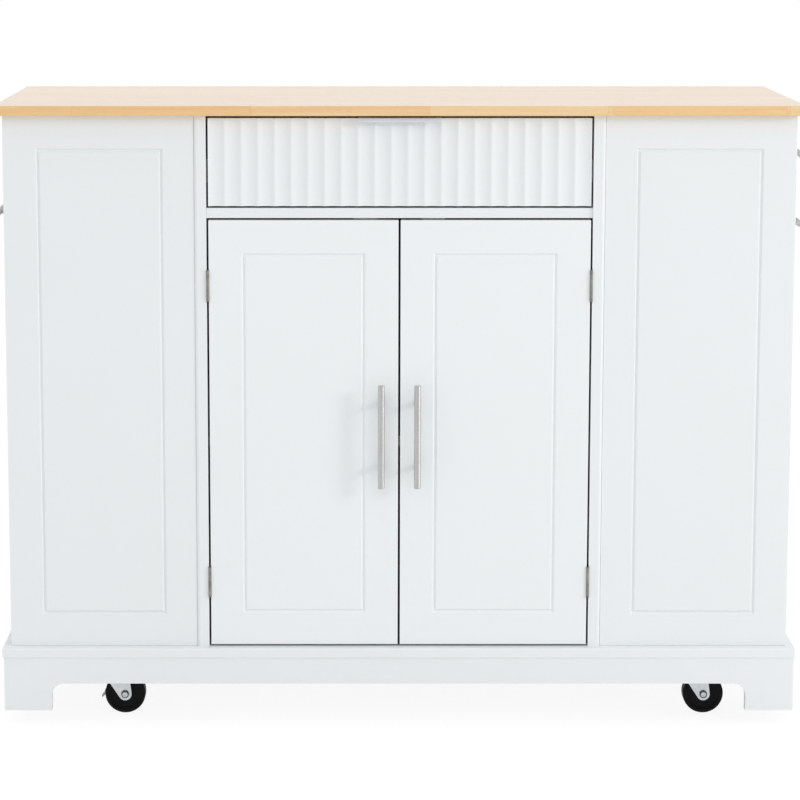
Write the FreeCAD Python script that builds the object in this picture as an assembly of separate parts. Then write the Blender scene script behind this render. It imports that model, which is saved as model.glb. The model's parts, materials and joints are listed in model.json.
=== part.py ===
import FreeCAD, Part
import math
import os

# Drop leaf kitchen island on casters, in millimetres. The front faces -Y, left and right are
# as seen from the front, and the origin is on the floor under the middle of the whole object.

V = FreeCAD.Vector
X, Y, Z = V(1, 0, 0), V(0, 1, 0), V(0, 0, 1)

# ---- driving dimensions: worktop and cabinet ------------------------------------------------
TOP_LENGTH = 1200.0        # solid wood worktop, left to right
TOP_DEPTH = 460.0          # front to back
TOP_THICK = 15.0
HEIGHT = 940.0             # floor to top of the worktop
SIDE_OVERHANG = 12.0       # worktop past the cabinet's ends
FRONT_OVERHANG = 15.0      # worktop past the door faces
BACK_OVERHANG = 25.0       # worktop past the back panel, room for the folded stays
BOARD = 15.0               # thickness of doors, panels, shelves and rails
PARTITION_THICK = 18.0
PARTITION_ROUND = 5.0      # rounding of the partitions' outer front edge
CENTRE_HALF = 287.0        # half the clear width between the partitions
PANEL_SETBACK = 3.0        # side panels lie this far behind the door faces
DECK_TOP = 120.0           # top of the bottom board
RAIL_MID = 780.0           # centre height of the rail between drawers and doors
GAP = 3.0                  # gap round doors and drawer fronts
MEETING_GAP = 3.2          # gap between the two doors
FACE_TOP_GAP = 4.0         # gap between drawer fronts and worktop
EASE = 0.8                 # small rounding on painted board edges
TOP_EASE = 2.0             # rounding on the worktop's and leaf's edges

# ---- driving dimensions: routed panels ------------------------------------------------------
GROOVE_MARGIN = 52.0       # groove line in from a board's edge
GROOVE_WIDTH = 6.0
GROOVE_FLOOR = 1.0
GROOVE_DEPTH = 2.2

# ---- driving dimensions: drawers ------------------------------------------------------------
DRAWER_FACE_THICK = 18.0
FLUTE_COUNT = 23
FLUTE_DEPTH = 2.8
FLUTE_LAND = 0.6           # flat left between two flutes
PULL_LENGTH = 123.0        # aluminium edge pull on the fluted drawer
PULL_REACH = 12.0
PULL_DROP = 6.5
PULL_SHEET = 1.5
RUNNER_SPACE = 12.5        # side gap of a side-mounted runner
DRAWER_BOX_HEIGHT = 96.0
DRAWER_BOX_RISE = 8.0      # box bottom above the front's lower edge
DRAWER_SIDE_THICK = 12.0
DRAWER_BASE_THICK = 5.0
FRONT_DRAWER_DEPTH = 360.0
SIDE_DRAWER_DEPTH = 250.0
RUNNER_HIGH = 34.0
RUNNER_SHEET = 1.2
RUNNER_Z = 26.0            # runner's underside above the box's underside
RUNNER_DEEP = 8.0          # channel's flanges
RUNNER_START = 2.0         # runner's front end behind the drawer front
RUNNER_SHORT = 10.0        # runner's rear end short of the box
SLIDE_PLATE = 2.0
SLIDE_INSET = 5.0          # slide plate narrower than the channel, above and below
SLIDE_AIR = 2.0            # bar to the channel's wall
BAR_INSET = 3.0            # bar narrower than the channel, above and below

# ---- driving dimensions: shelves and catches ------------------------------------------------
SHELF_Z = 440.0            # top of the centre shelf
LEFT_SHELF_Z = (385.0, 655.0)
SHELF_BACK = 5.0           # shelf edges clear of doors and back
CENTRE_PIN_Y = (-150.0, 140.0)
LEFT_PIN_X = (-540.0, -340.0)
PIN_RADIUS = 2.5
PIN_SINK = 8.0
PIN_STICK = 9.0
CATCH = V(36.0, 15.0, 13.0)      # magnetic catch: length, depth, height
CATCH_AIR = 0.5
CATCH_X = 50.0             # catches over the doors, from the middle
END_CATCH_Z = 565.0
STRIKE_SHEET = 1.0
STRIKE = V(28.0, 13.0, 0)  # strike plate: length, height

# ---- driving dimensions: bar handles, hinges and leaf ---------------------------------------
BAR_RADIUS = 5.0
BAR_LENGTH = 156.0
BAR_CENTRES = 96.0         # between the two posts
BAR_STANDOFF = 26.0        # bar centre in front of the face
POST_RADIUS = 4.0
DOOR_HANDLE_X = 27.0
DOOR_HANDLE_Z = 447.0
TOWEL_RAIL_Z = 765.0
SIDE_DRAWER_HANDLE_Z = 856.0
FLAP_HANDLE_Z = 750.0
HINGE_HEIGHT = 45.0
HINGE_KNUCKLES = 5
KNUCKLE_RADIUS = 2.2
HINGE_PIN_RADIUS = 1.2
HINGE_SHEET = 1.0
HINGE_REACH = 16.0         # hinge leaf measured from the pin
KNUCKLE_PROUD = 1.0        # pin centre in front of the door face
FIT = 0.05                 # radial clearance of every pin and axle
PLAY = 0.3                 # clearance between parts that pass each other
DOOR_HINGE_Z = (220.0, 671.5)
END_HINGE_Z = (220.0, 520.0, 820.0)
FLAP_HINGE_Y = (-125.0, 118.0)
LEAF_WIDTH = 290.0         # drop leaf, hinge edge to free edge
LEAF_EDGE_GAP = 1.0        # gap to the worktop when the leaf is up
LEAF_PIN_DROP = 2.5        # leaf hinge pin below the worktop's underside
LEAF_PIN_INSET = 1.5       # leaf hinge pin in from the worktop's back edge
LEAF_HINGE_X = (-450.0, 0.0, 450.0)
LEAF_HINGE_LENGTH = 70.0
LEAF_HINGE_SHEET = 1.5
LEAF_HINGE_REACH = 38.0    # long plate on the leaf
LEAF_HINGE_SHORT = 22.0    # short plate under the worktop

# ---- driving dimensions: folding stays ------------------------------------------------------
STAY_X = 300.0
STAY_PIVOT_DROP = 100.0    # stay pivot below the leaf pin
STAY_PIVOT_OUT = 13.0      # stay pivot behind the back panel
STAY_LENGTH = 167.4        # pivot to foot, so that the raised stay bears under the leaf
STAY_BAR = 12.0
STAY_SHEET = 3.0
STAY_PIN_RADIUS = 3.0
STAY_FOOT_WIDTH = 14.0
STAY_PLATE_X = (-24.0, 10.0)     # wall plate, from the stay's middle
STAY_PLATE_Z = (-40.0, 30.0)     # wall plate, from the pivot
STAY_PLATE_SHEET = 2.0
STAY_EAR_SHEET = 2.5
STAY_EAR_PAST = 8.0        # ear behind the pivot
STAY_EAR_HALF = 12.0       # half the ear's height
STAY_HEAD = 2.0            # pin head, wider than the pin and as thick
STAY_HEAD_AIR = 0.2
STAY_RAIL_TOP = 40.0       # strip's ends, from the leaf's hinge edge and free edge
STAY_RAIL_END = 12.0
STAY_RAIL_X = (-4.0, 20.0)       # strip, from the stay's middle
STAY_RAIL_SHEET = 2.0
STAY_GUIDE = 9.0           # guide's depth from the leaf

# ---- driving dimensions: plinth and casters -------------------------------------------------
PLINTH_SETBACK = 2.0       # plinth behind the bottom board's edge
FOOT_BOTTOM = 23.0         # the feet hang clear, the casters carry the island
FOOT_WIDTH = 72.0
ARCH_TOP = 65.0
ARCH_RADIUS = 19.0
WHEEL_RADIUS = 31.0
WHEEL_WIDTH = 24.0
CASTER_X = 445.0           # kingpins, either side of the middle
CASTER_FRONT_Y = -150.0
CASTER_REAR_Y = 140.0
CASTER_TRAIL = 25.0        # axle to kingpin
CASTER_HEIGHT = 81.0
FORK_SHEET = 2.5
AXLE_RADIUS = 3.0
KINGPIN_RADIUS = 5.0
PLATE_HALF = 30.0
PLATE_THICK = 2.5
CROWN_GAP = 4.0            # wheel to the fork's crown
RACE_RADIUS = 15.0
RACE_HEIGHT = 4.0
LEG_ROUND = 10.0
LEG_TOP = (-11.5, 30.5)    # crown plate, from the kingpin
BOLT_HEAD_RADIUS = 5.5
BOLT_HEAD = 3.0
BRAKE_PIVOT = V(13.0, 0, 60.0)   # brake lever's points, from the floor under the kingpin
BRAKE_KNEE = V(-5.0, 0, 26.0)
BRAKE_TIP = V(-13.0, 0, 18.0)
BRAKE_SHEET = 2.5
BRAKE_BAR = 9.0
BRAKE_TAB = 16.0
BRAKE_PIN_RADIUS = 2.5
CASTERS = {                # name: kingpin x, kingpin y, side that the wheel trails to
    "front_left": (-CASTER_X, CASTER_FRONT_Y, 1),
    "front_right": (CASTER_X, CASTER_FRONT_Y, 1),
    "rear_left": (-CASTER_X, CASTER_REAR_Y, -1),
    "rear_right": (CASTER_X, CASTER_REAR_Y, -1),
}
BRAKED = ("front_left", "rear_left")

# ---- driving dimensions: bin flap -----------------------------------------------------------
CRADLE_BACK_X = 380.0
CRADLE_HALF = 146.0
CRADLE_BOARD = 12.0
CHEEK_HEIGHT = 170.0
STOP_PEG = V(-190.0, 0, 120.0)   # peg from the flap's pin, flap shut
STOP_ANGLE = 35.0
STOP_PEG_RADIUS = 5.0
STOP_PEG_LENGTH = 35.0

# ---- places worked out from the driving dimensions ------------------------------------------
TOP_UNDER = HEIGHT - TOP_THICK
TOP_HALF = TOP_LENGTH / 2
TOP_FRONT, TOP_BACK = -TOP_DEPTH / 2, TOP_DEPTH / 2
BODY_HALF = TOP_HALF - SIDE_OVERHANG
FACE_Y = TOP_FRONT + FRONT_OVERHANG
PANEL_Y = FACE_Y + PANEL_SETBACK
INNER_FRONT = PANEL_Y + BOARD
BACK_Y = TOP_BACK - BACK_OVERHANG
INNER_BACK = BACK_Y - BOARD
END_MID = (INNER_FRONT + INNER_BACK) / 2
PARTITION_OUT = CENTRE_HALF + PARTITION_THICK
DECK_UNDER = DECK_TOP - BOARD
DECK_BACK = BACK_Y + FRONT_OVERHANG
RAIL_LOW, RAIL_HIGH = RAIL_MID - BOARD / 2, RAIL_MID + BOARD / 2
DOOR_LOW, DOOR_HIGH = DECK_TOP + GAP, RAIL_LOW - GAP
FACE_LOW, FACE_HIGH = RAIL_HIGH + GAP, TOP_UNDER - FACE_TOP_GAP
LEAF_PIN = V(0, TOP_BACK - LEAF_PIN_INSET, TOP_UNDER - LEAF_PIN_DROP)
LEAF_INNER = LEAF_PIN.y + LEAF_PIN_DROP
LEAF_HIGH = LEAF_PIN.z - LEAF_EDGE_GAP - LEAF_PIN_INSET
FLAP_PIN = V(BODY_HALF + KNUCKLE_PROUD, 0, DECK_TOP + GAP / 2)
STAY_PIVOT = V(0, BACK_Y + STAY_PIVOT_OUT, LEAF_PIN.z - STAY_PIVOT_DROP)
PIN_HOLE_RADIUS = PIN_RADIUS + FIT
FRONT_WIDTH = 2 * (CENTRE_HALF - RUNNER_SPACE)
SIDE_WIDTH = INNER_BACK - INNER_FRONT - 2 * RUNNER_SPACE
BOX_LOW = FACE_LOW + DRAWER_BOX_RISE
FRONT_ORIGIN = V(0, FACE_Y + DRAWER_FACE_THICK, BOX_LOW)
SIDE_ORIGIN = V(BODY_HALF - BOARD, END_MID, BOX_LOW)
PLINTH_HALF = TOP_HALF - PLINTH_SETBACK
PLINTH_FRONT = TOP_FRONT + PLINTH_SETBACK
PLINTH_BACK = DECK_BACK - PLINTH_SETBACK
CROWN_LOW = WHEEL_RADIUS * 2 + CROWN_GAP
CROWN_HIGH = CROWN_LOW + FORK_SHEET
RACE_HIGH = CROWN_HIGH + RACE_HEIGHT
FORK_LEG = WHEEL_WIDTH / 2 + 1


# ---- small shape helpers --------------------------------------------------------------------
def box(x0, x1, y0, y1, z0, z1):
    return Part.makeBox(x1 - x0, y1 - y0, z1 - z0, V(x0, y0, z0))


def board(x0, x1, y0, y1, z0, z1, ease=EASE):
    """A board with all its edges rounded a little."""
    plain = box(x0, x1, y0, y1, z0, z1)
    return plain.makeFillet(ease, plain.Edges)


def rod(start, direction, radius, length):
    return Part.makeCylinder(radius, length, start, direction)


def tube(start, direction, radius, bore, length):
    return rod(start, direction, radius, length).cut(rod(start, direction, bore, length))


def group(shapes):
    return Part.makeCompound(list(shapes))


def mirrored(shape):
    """The same shape on the other side of the island."""
    return shape.mirror(V(0, 0, 0), X)


def placed(shape, origin, x_axis, y_axis):
    """Moves a shape from its own axes to the given origin and directions."""
    z_axis = x_axis.cross(y_axis)
    matrix = FreeCAD.Matrix(x_axis.x, y_axis.x, z_axis.x, origin.x,
                            x_axis.y, y_axis.y, z_axis.y, origin.y,
                            x_axis.z, y_axis.z, z_axis.z, origin.z,
                            0, 0, 0, 1)
    moved = shape.copy()
    moved.Placement = FreeCAD.Placement(matrix).multiply(shape.Placement)
    return moved


def prism(points, direction):
    """A flat outline of straight edges, extruded."""
    return Part.Face(Part.makePolygon(points + points[:1])).extrude(direction)


def groove(at, u0, u1, v0, v1):
    """A routed V line round a rectangle. at(u, v, d) is the point at depth d under the face."""
    def rectangle(grow, depth):
        corners = [at(u0 - grow, v0 - grow, depth), at(u1 + grow, v0 - grow, depth),
                   at(u1 + grow, v1 + grow, depth), at(u0 - grow, v1 + grow, depth)]
        return Part.makePolygon(corners + corners[:1])

    slope = (GROOVE_WIDTH - GROOVE_FLOOR) / 2 / GROOVE_DEPTH
    lip = GROOVE_WIDTH / 2 + slope
    floor = GROOVE_FLOOR / 2
    outer = Part.makeLoft([rectangle(lip, -1), rectangle(floor, GROOVE_DEPTH)], True, True)
    inner = Part.makeLoft([rectangle(-lip, -1), rectangle(-floor, GROOVE_DEPTH)], True, True)
    return outer.cut(inner)


def front_groove(face_y, x0, x1, z0, z1):
    return groove(lambda u, v, d: V(u, face_y + d, v), x0 + GROOVE_MARGIN, x1 - GROOVE_MARGIN,
                  z0 + GROOVE_MARGIN, z1 - GROOVE_MARGIN)


def end_groove(sign, y0, y1, z0, z1):
    return groove(lambda u, v, d: V(sign * (BODY_HALF - d), u, v), y0 + GROOVE_MARGIN,
                  y1 - GROOVE_MARGIN, z0 + GROOVE_MARGIN, z1 - GROOVE_MARGIN)


# ---- worktop and drop leaf ------------------------------------------------------------------
def worktop():
    return board(-TOP_HALF, TOP_HALF, TOP_FRONT, TOP_BACK, TOP_UNDER, HEIGHT, TOP_EASE)


def drop_leaf():
    """The leaf, hanging down behind the cabinet."""
    return board(-TOP_HALF, TOP_HALF, LEAF_INNER, LEAF_INNER + TOP_THICK,
                 LEAF_HIGH - LEAF_WIDTH, LEAF_HIGH, TOP_EASE)


def knuckles(radius, bore, length, turn):
    """Every second knuckle of a hinge along local Z, starting with number turn."""
    pitch = length / HINGE_KNUCKLES
    return [tube(V(0, 0, -length / 2 + i * pitch + PLAY / 2), Z, radius, bore, pitch - PLAY)
            for i in range(turn, HINGE_KNUCKLES, 2)]


def hinge_half(plate, tongue, length, turn):
    """A hinge plate joined by tongues to its own knuckles. tongue(z0, z1) gives one tongue."""
    pitch = length / HINGE_KNUCKLES
    bore = HINGE_PIN_RADIUS + FIT
    half = plate
    for i in range(turn, HINGE_KNUCKLES, 2):
        low = -length / 2 + i * pitch + PLAY / 2
        half = half.fuse(tongue(low, low + pitch - PLAY))
    half = half.cut(rod(V(0, 0, -length), Z, bore, 2 * length))
    for ring in knuckles(KNUCKLE_RADIUS, bore, length, turn):
        half = half.fuse(ring)
    return half.removeSplitter()


def leaf_hinge_half(on_worktop):
    """Half of a leaf hinge, pin along local Z, local X up and local Y away from the leaf."""
    low, high = LEAF_PIN_DROP - LEAF_HINGE_SHEET, LEAF_PIN_DROP
    start = KNUCKLE_RADIUS + 0.5
    end = LEAF_HINGE_LENGTH / 2
    if on_worktop:
        plate = box(low, high, start, LEAF_HINGE_SHORT, -end, end)
        return hinge_half(plate, lambda z0, z1: box(low, high, 0, start, z0, z1),
                          LEAF_HINGE_LENGTH, 0)
    plate = box(-LEAF_HINGE_REACH, -start, -high, -low, -end, end)
    return hinge_half(plate, lambda z0, z1: box(-start, 0, -high, -low, z0, z1),
                      LEAF_HINGE_LENGTH, 1)


def leaf_hinges(on_worktop):
    half = leaf_hinge_half(on_worktop)
    return group(placed(half, V(x, LEAF_PIN.y, LEAF_PIN.z), Z, -Y) for x in LEAF_HINGE_X)


# ---- folding stays under the leaf -----------------------------------------------------------
def stay_bracket(x):
    """Wall plate on the back panel with an ear that carries the stay's pivot pin."""
    pivot = V(x, STAY_PIVOT.y, STAY_PIVOT.z)
    inner = STAY_SHEET / 2 + PLAY
    left, right = STAY_PLATE_X
    low, high = STAY_PLATE_Z
    plate = box(x + left, x + right, BACK_Y, BACK_Y + STAY_PLATE_SHEET, pivot.z + low,
                pivot.z + high)
    ear = box(x - inner - STAY_EAR_SHEET, x - inner, BACK_Y, pivot.y + STAY_EAR_PAST,
              pivot.z - STAY_EAR_HALF, pivot.z + STAY_EAR_HALF)
    under_head = inner + STAY_HEAD_AIR
    pin = rod(pivot - X * (inner + 1), X, STAY_PIN_RADIUS, inner + 1 + under_head)
    head = rod(pivot + X * under_head, X, STAY_PIN_RADIUS + STAY_HEAD, STAY_HEAD)
    return plate.fuse([ear, pin, head]).removeSplitter()


def stay_arm(x):
    """Flat bar that hangs from its pivot, with a round foot that bears under the leaf."""
    pivot = V(x - STAY_SHEET / 2, STAY_PIVOT.y, STAY_PIVOT.z)
    foot = pivot - Z * STAY_LENGTH
    half = STAY_BAR / 2
    bar = box(pivot.x, pivot.x + STAY_SHEET, pivot.y - half, pivot.y + half, foot.z, pivot.z)
    arm = bar.fuse([rod(pivot, X, half, STAY_SHEET), rod(foot, X, half, STAY_FOOT_WIDTH)])
    bore = rod(pivot - X, X, STAY_PIN_RADIUS + FIT, STAY_SHEET + 2)
    return arm.cut(bore).removeSplitter()


def stay_rail(x):
    """Angle strip under the leaf that the stay's foot slides along and bears on."""
    high, low = LEAF_HIGH - STAY_RAIL_TOP, LEAF_HIGH - LEAF_WIDTH + STAY_RAIL_END
    left, right = x + STAY_RAIL_X[0], x + STAY_RAIL_X[1]
    face = LEAF_INNER - STAY_RAIL_SHEET
    strip = box(left, right, face, LEAF_INNER, low, high)
    guide = box(right - STAY_RAIL_SHEET, right, LEAF_INNER - STAY_GUIDE, face, low, high)
    return strip.fuse(guide).removeSplitter()


# ---- carcass --------------------------------------------------------------------------------
def bottom_board():
    deck = board(-TOP_HALF, TOP_HALF, TOP_FRONT, DECK_BACK, DECK_UNDER, DECK_TOP, 1.5)
    return deck.cut(group(flap_knuckle_room()))


def side_panel():
    """Right front panel with its routed line."""
    panel = board(PARTITION_OUT, BODY_HALF, PANEL_Y, INNER_FRONT, DECK_TOP, TOP_UNDER)
    return panel.cut(front_groove(PANEL_Y, PARTITION_OUT - PANEL_SETBACK, BODY_HALF,
                                  DECK_TOP, TOP_UNDER))


def partition():
    """Right partition, its front edge proud of the panel, with hinge and shelf pin holes."""
    wall = box(CENTRE_HALF, PARTITION_OUT, FACE_Y, INNER_BACK, DECK_TOP, TOP_UNDER)
    outer = [e for e in wall.Edges if abs(e.Length - (TOP_UNDER - DECK_TOP)) < 0.1
             and abs(e.CenterOfMass.x - PARTITION_OUT) < 0.1
             and abs(e.CenterOfMass.y - FACE_Y) < 0.1]
    wall = wall.makeFillet(PARTITION_ROUND, outer)
    return wall.cut(group(door_knuckle_room() + centre_pins(PIN_HOLE_RADIUS)))


def back_panel():
    """One board across the back, routed with three rectangles."""
    panel = board(-BODY_HALF, BODY_HALF, INNER_BACK, BACK_Y, DECK_TOP, TOP_UNDER)
    edges = (-BODY_HALF, -PARTITION_OUT, PARTITION_OUT, BODY_HALF)
    cutters = [groove(lambda u, v, d: V(u, BACK_Y - d, v), x0 + GROOVE_MARGIN, x1 - GROOVE_MARGIN,
                      DECK_TOP + GROOVE_MARGIN, TOP_UNDER - GROOVE_MARGIN)
               for x0, x1 in zip(edges, edges[1:])]
    cutters += left_bay_pins(PIN_HOLE_RADIUS) + end_knuckle_room()
    return panel.cut(group(cutters))


def cabinet_rails():
    """Rail under the front drawer, and the one between the side drawer and the bin flap."""
    front = board(-CENTRE_HALF, CENTRE_HALF, PANEL_Y, PANEL_Y + 60, RAIL_LOW, RAIL_HIGH)
    end = board(BODY_HALF - 60, BODY_HALF, INNER_FRONT, INNER_BACK, RAIL_LOW, RAIL_HIGH)
    return group([front, end])


def shelves():
    centre = board(-CENTRE_HALF + 1, CENTRE_HALF - 1, INNER_FRONT + 2, INNER_BACK - SHELF_BACK,
                   SHELF_Z - BOARD, SHELF_Z)
    left = [board(-BODY_HALF + BOARD + SHELF_BACK, -PARTITION_OUT - 1, INNER_FRONT + 1,
                  INNER_BACK - 1, z - BOARD, z) for z in LEFT_SHELF_Z]
    return group([centre] + left)


def centre_pins(radius):
    """Shelf pins in the right partition."""
    z = SHELF_Z - BOARD - PIN_RADIUS
    start = CENTRE_HALF - PIN_STICK
    return [rod(V(start, y, z), X, radius, PIN_STICK + PIN_SINK) for y in CENTRE_PIN_Y]


def left_bay_pins(radius):
    """Shelf pins in the front panel and the back panel of the left bay."""
    pins = []
    for top in LEFT_SHELF_Z:
        for x in LEFT_PIN_X:
            z = top - BOARD - PIN_RADIUS
            pins.append(rod(V(x, INNER_FRONT - PIN_SINK, z), Y, radius, PIN_SINK + PIN_STICK))
            pins.append(rod(V(x, INNER_BACK - PIN_STICK, z), Y, radius, PIN_SINK + PIN_STICK))
    return pins


def shelf_pins():
    right = centre_pins(PIN_RADIUS)
    return group(right + [mirrored(p) for p in right] + left_bay_pins(PIN_RADIUS))


# ---- butt hinges ----------------------------------------------------------------------------
# Local axes of a butt hinge: X from the door to its frame, Y into the cabinet, Z the pin.
def butt_half(on_frame):
    start = KNUCKLE_RADIUS + 0.5
    wall = GAP / 2
    x0, x1 = (wall - HINGE_SHEET, wall) if on_frame else (-wall, HINGE_SHEET - wall)
    plate = box(x0, x1, start, HINGE_REACH, -HINGE_HEIGHT / 2, HINGE_HEIGHT / 2)
    return hinge_half(plate, lambda z0, z1: box(x0, x1, 0, start, z0, z1), HINGE_HEIGHT,
                      0 if on_frame else 1)


def hinge_pin(length):
    """Pin with a low button head at each end."""
    pin = rod(V(0, 0, -length / 2 - PLAY), Z, HINGE_PIN_RADIUS, length + 2 * PLAY)
    heads = [rod(V(0, 0, z), Z, KNUCKLE_RADIUS - 0.3, 1) for z in
             (length / 2 + PLAY, -length / 2 - PLAY - 1)]
    return pin.fuse(heads).removeSplitter()


def knuckle_room():
    """Space let into the two boards round a butt hinge's knuckles."""
    length = HINGE_HEIGHT + 6
    return rod(V(0, 0, -length / 2), Z, KNUCKLE_RADIUS + PLAY, length)


def right_door_hinges(shape):
    x = CENTRE_HALF - GAP / 2
    return [placed(shape, V(x, FACE_Y - KNUCKLE_PROUD, z), X, Y) for z in DOOR_HINGE_Z]


def end_door_hinges(shape):
    origin = V(-BODY_HALF - KNUCKLE_PROUD, INNER_BACK - GAP / 2, 0)
    return [placed(shape, origin + Z * z, Y, X) for z in END_HINGE_Z]


def flap_hinges(shape):
    return [placed(shape, FLAP_PIN + Y * y, -Z, -X) for y in FLAP_HINGE_Y]


def door_knuckle_room():
    return right_door_hinges(knuckle_room())


def end_knuckle_room():
    return end_door_hinges(knuckle_room())


def flap_knuckle_room():
    return flap_hinges(knuckle_room())


def hinge_frame_leaves():
    half = butt_half(True)
    right = right_door_hinges(half)
    return group(right + [mirrored(h) for h in right] + end_door_hinges(half) + flap_hinges(half))


def hinge_pins():
    pin = hinge_pin(HINGE_HEIGHT)
    right = right_door_hinges(pin)
    leaf_pin = hinge_pin(LEAF_HINGE_LENGTH)
    leaf_pins = [placed(leaf_pin, V(x, LEAF_PIN.y, LEAF_PIN.z), Z, -Y) for x in LEAF_HINGE_X]
    return group(right + [mirrored(p) for p in right] + end_door_hinges(pin) + flap_hinges(pin)
                 + leaf_pins)


# ---- doors, bar handles and catches ---------------------------------------------------------
def bar_handle(foot, along, outward):
    """Round bar on two posts. foot is the point on the face under the bar's middle."""
    local = rod(V(0, -BAR_LENGTH / 2, BAR_STANDOFF), Y, BAR_RADIUS, BAR_LENGTH)
    local = local.makeChamfer(0.6, [e for e in local.Edges if e.isClosed()])
    for y in (-BAR_CENTRES / 2, BAR_CENTRES / 2):
        local = local.fuse(rod(V(0, y, 0), Z, POST_RADIUS, BAR_STANDOFF))
    return placed(local, foot, along.cross(outward), along)


def door():
    """Right door: routed face, edges let in for the hinge knuckles."""
    x0, x1 = MEETING_GAP / 2, CENTRE_HALF - GAP
    panel = board(x0, x1, FACE_Y, FACE_Y + BOARD, DOOR_LOW, DOOR_HIGH)
    panel = panel.cut(front_groove(FACE_Y, x0, x1, DOOR_LOW, DOOR_HIGH))
    return panel.cut(group(door_knuckle_room()))


def door_handle():
    return bar_handle(V(DOOR_HANDLE_X, FACE_Y, DOOR_HANDLE_Z), Z, -Y)


def door_fittings():
    """The right door's hinge leaves and its steel plate for the magnetic catch."""
    back = FACE_Y + BOARD
    x0 = CATCH_X - STRIKE.x / 2
    strike = box(x0, x0 + STRIKE.x, back, back + STRIKE_SHEET,
                 DOOR_HIGH - 3 - STRIKE.y, DOOR_HIGH - 3)
    return group(right_door_hinges(butt_half(False)) + [strike])


def magnetic_catches():
    """Two over the doors, one inside the end door's free edge and one over the bin flap."""
    reach = BOARD + STRIKE_SHEET + CATCH_AIR
    y, x0 = FACE_Y + reach, CATCH_X - CATCH.x / 2
    right = box(x0, x0 + CATCH.x, y, y + CATCH.y, RAIL_LOW - CATCH.z, RAIL_LOW)
    x = -BODY_HALF + reach
    end = box(x, x + CATCH.y, INNER_FRONT, INNER_FRONT + CATCH.z,
              END_CATCH_Z, END_CATCH_Z + CATCH.x)
    x = BODY_HALF - reach
    flap = box(x - CATCH.y, x, END_MID - CATCH.x / 2, END_MID + CATCH.x / 2,
               RAIL_LOW - CATCH.z, RAIL_LOW)
    return group([right, mirrored(right), end, flap])


# ---- left end door --------------------------------------------------------------------------
def end_door():
    y0, y1 = INNER_FRONT + GAP, INNER_BACK - GAP
    panel = board(-BODY_HALF, -BODY_HALF + BOARD, y0, y1, DOOR_LOW, FACE_HIGH)
    panel = panel.cut(end_groove(-1, y0, y1, DOOR_LOW, FACE_HIGH))
    return panel.cut(group(end_knuckle_room()))


def end_door_rail():
    """Level bar near the top, a grip for the door and a rail for a towel."""
    return bar_handle(V(-BODY_HALF, END_MID, TOWEL_RAIL_Z), Y, -X)


def end_door_fittings():
    x = -BODY_HALF + BOARD
    y0, z0 = INNER_FRONT + GAP + 1, END_CATCH_Z + (CATCH.x - STRIKE.x) / 2
    strike = box(x, x + STRIKE_SHEET, y0, y0 + STRIKE.y, z0, z0 + STRIKE.x)
    return group(end_door_hinges(butt_half(False)) + [strike])


# ---- drawers --------------------------------------------------------------------------------
# Local axes of a drawer: X across, Y from its front into the cabinet, Z up, origin at the
# middle of the box's front edge, at the height of the box's underside.
def drawer_box(width, depth):
    half, side = width / 2, DRAWER_SIDE_THICK
    walls = [box(-half, -half + side, 0, depth, 0, DRAWER_BOX_HEIGHT),
             box(half - side, half, 0, depth, 0, DRAWER_BOX_HEIGHT),
             box(-half + side, half - side, depth - side, depth, 0, DRAWER_BOX_HEIGHT)]
    return group(walls)


def drawer_base(width, depth):
    half, side = width / 2, DRAWER_SIDE_THICK
    return box(-half + side, half - side, 0, depth - side, 4, 4 + DRAWER_BASE_THICK)


def runner_channel(width, length):
    """Cabinet half of the right runner: a channel open towards the drawer."""
    wall = width / 2 + RUNNER_SPACE
    z0, z1 = RUNNER_Z, RUNNER_Z + RUNNER_HIGH
    channel = box(wall - RUNNER_DEEP, wall, RUNNER_START, length, z0, z1)
    return channel.cut(box(wall - RUNNER_DEEP - 1, wall - RUNNER_SHEET, 0, length + 2,
                           z0 + RUNNER_SHEET, z1 - RUNNER_SHEET))


def runner_slide(width, length):
    """Drawer half of the right runner: a plate on the box with a bar inside the channel."""
    side = width / 2
    low, high = RUNNER_Z, RUNNER_Z + RUNNER_HIGH
    plate = box(side, side + SLIDE_PLATE, RUNNER_START, length, low + SLIDE_INSET,
                high - SLIDE_INSET)
    bar = box(side + SLIDE_PLATE, side + RUNNER_SPACE - SLIDE_AIR, RUNNER_START, length,
              low + BAR_INSET, high - BAR_INSET)
    return plate.fuse(bar).removeSplitter()


def in_front(shape):
    """A drawer piece in the centre bay, opening to the front."""
    return placed(shape, FRONT_ORIGIN, X, Y)


def in_end(shape):
    """A drawer piece in the right bay, opening to the right."""
    return placed(shape, SIDE_ORIGIN, Y, -X)


def runner_channels():
    front = runner_channel(FRONT_WIDTH, FRONT_DRAWER_DEPTH - RUNNER_SHORT)
    side = runner_channel(SIDE_WIDTH, SIDE_DRAWER_DEPTH - RUNNER_SHORT)
    return group([in_front(front), in_front(mirrored(front)), in_end(side),
                  in_end(mirrored(side))])


def slides(width, depth):
    right = runner_slide(width, depth - RUNNER_SHORT)
    return group([right, mirrored(right)])


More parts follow.
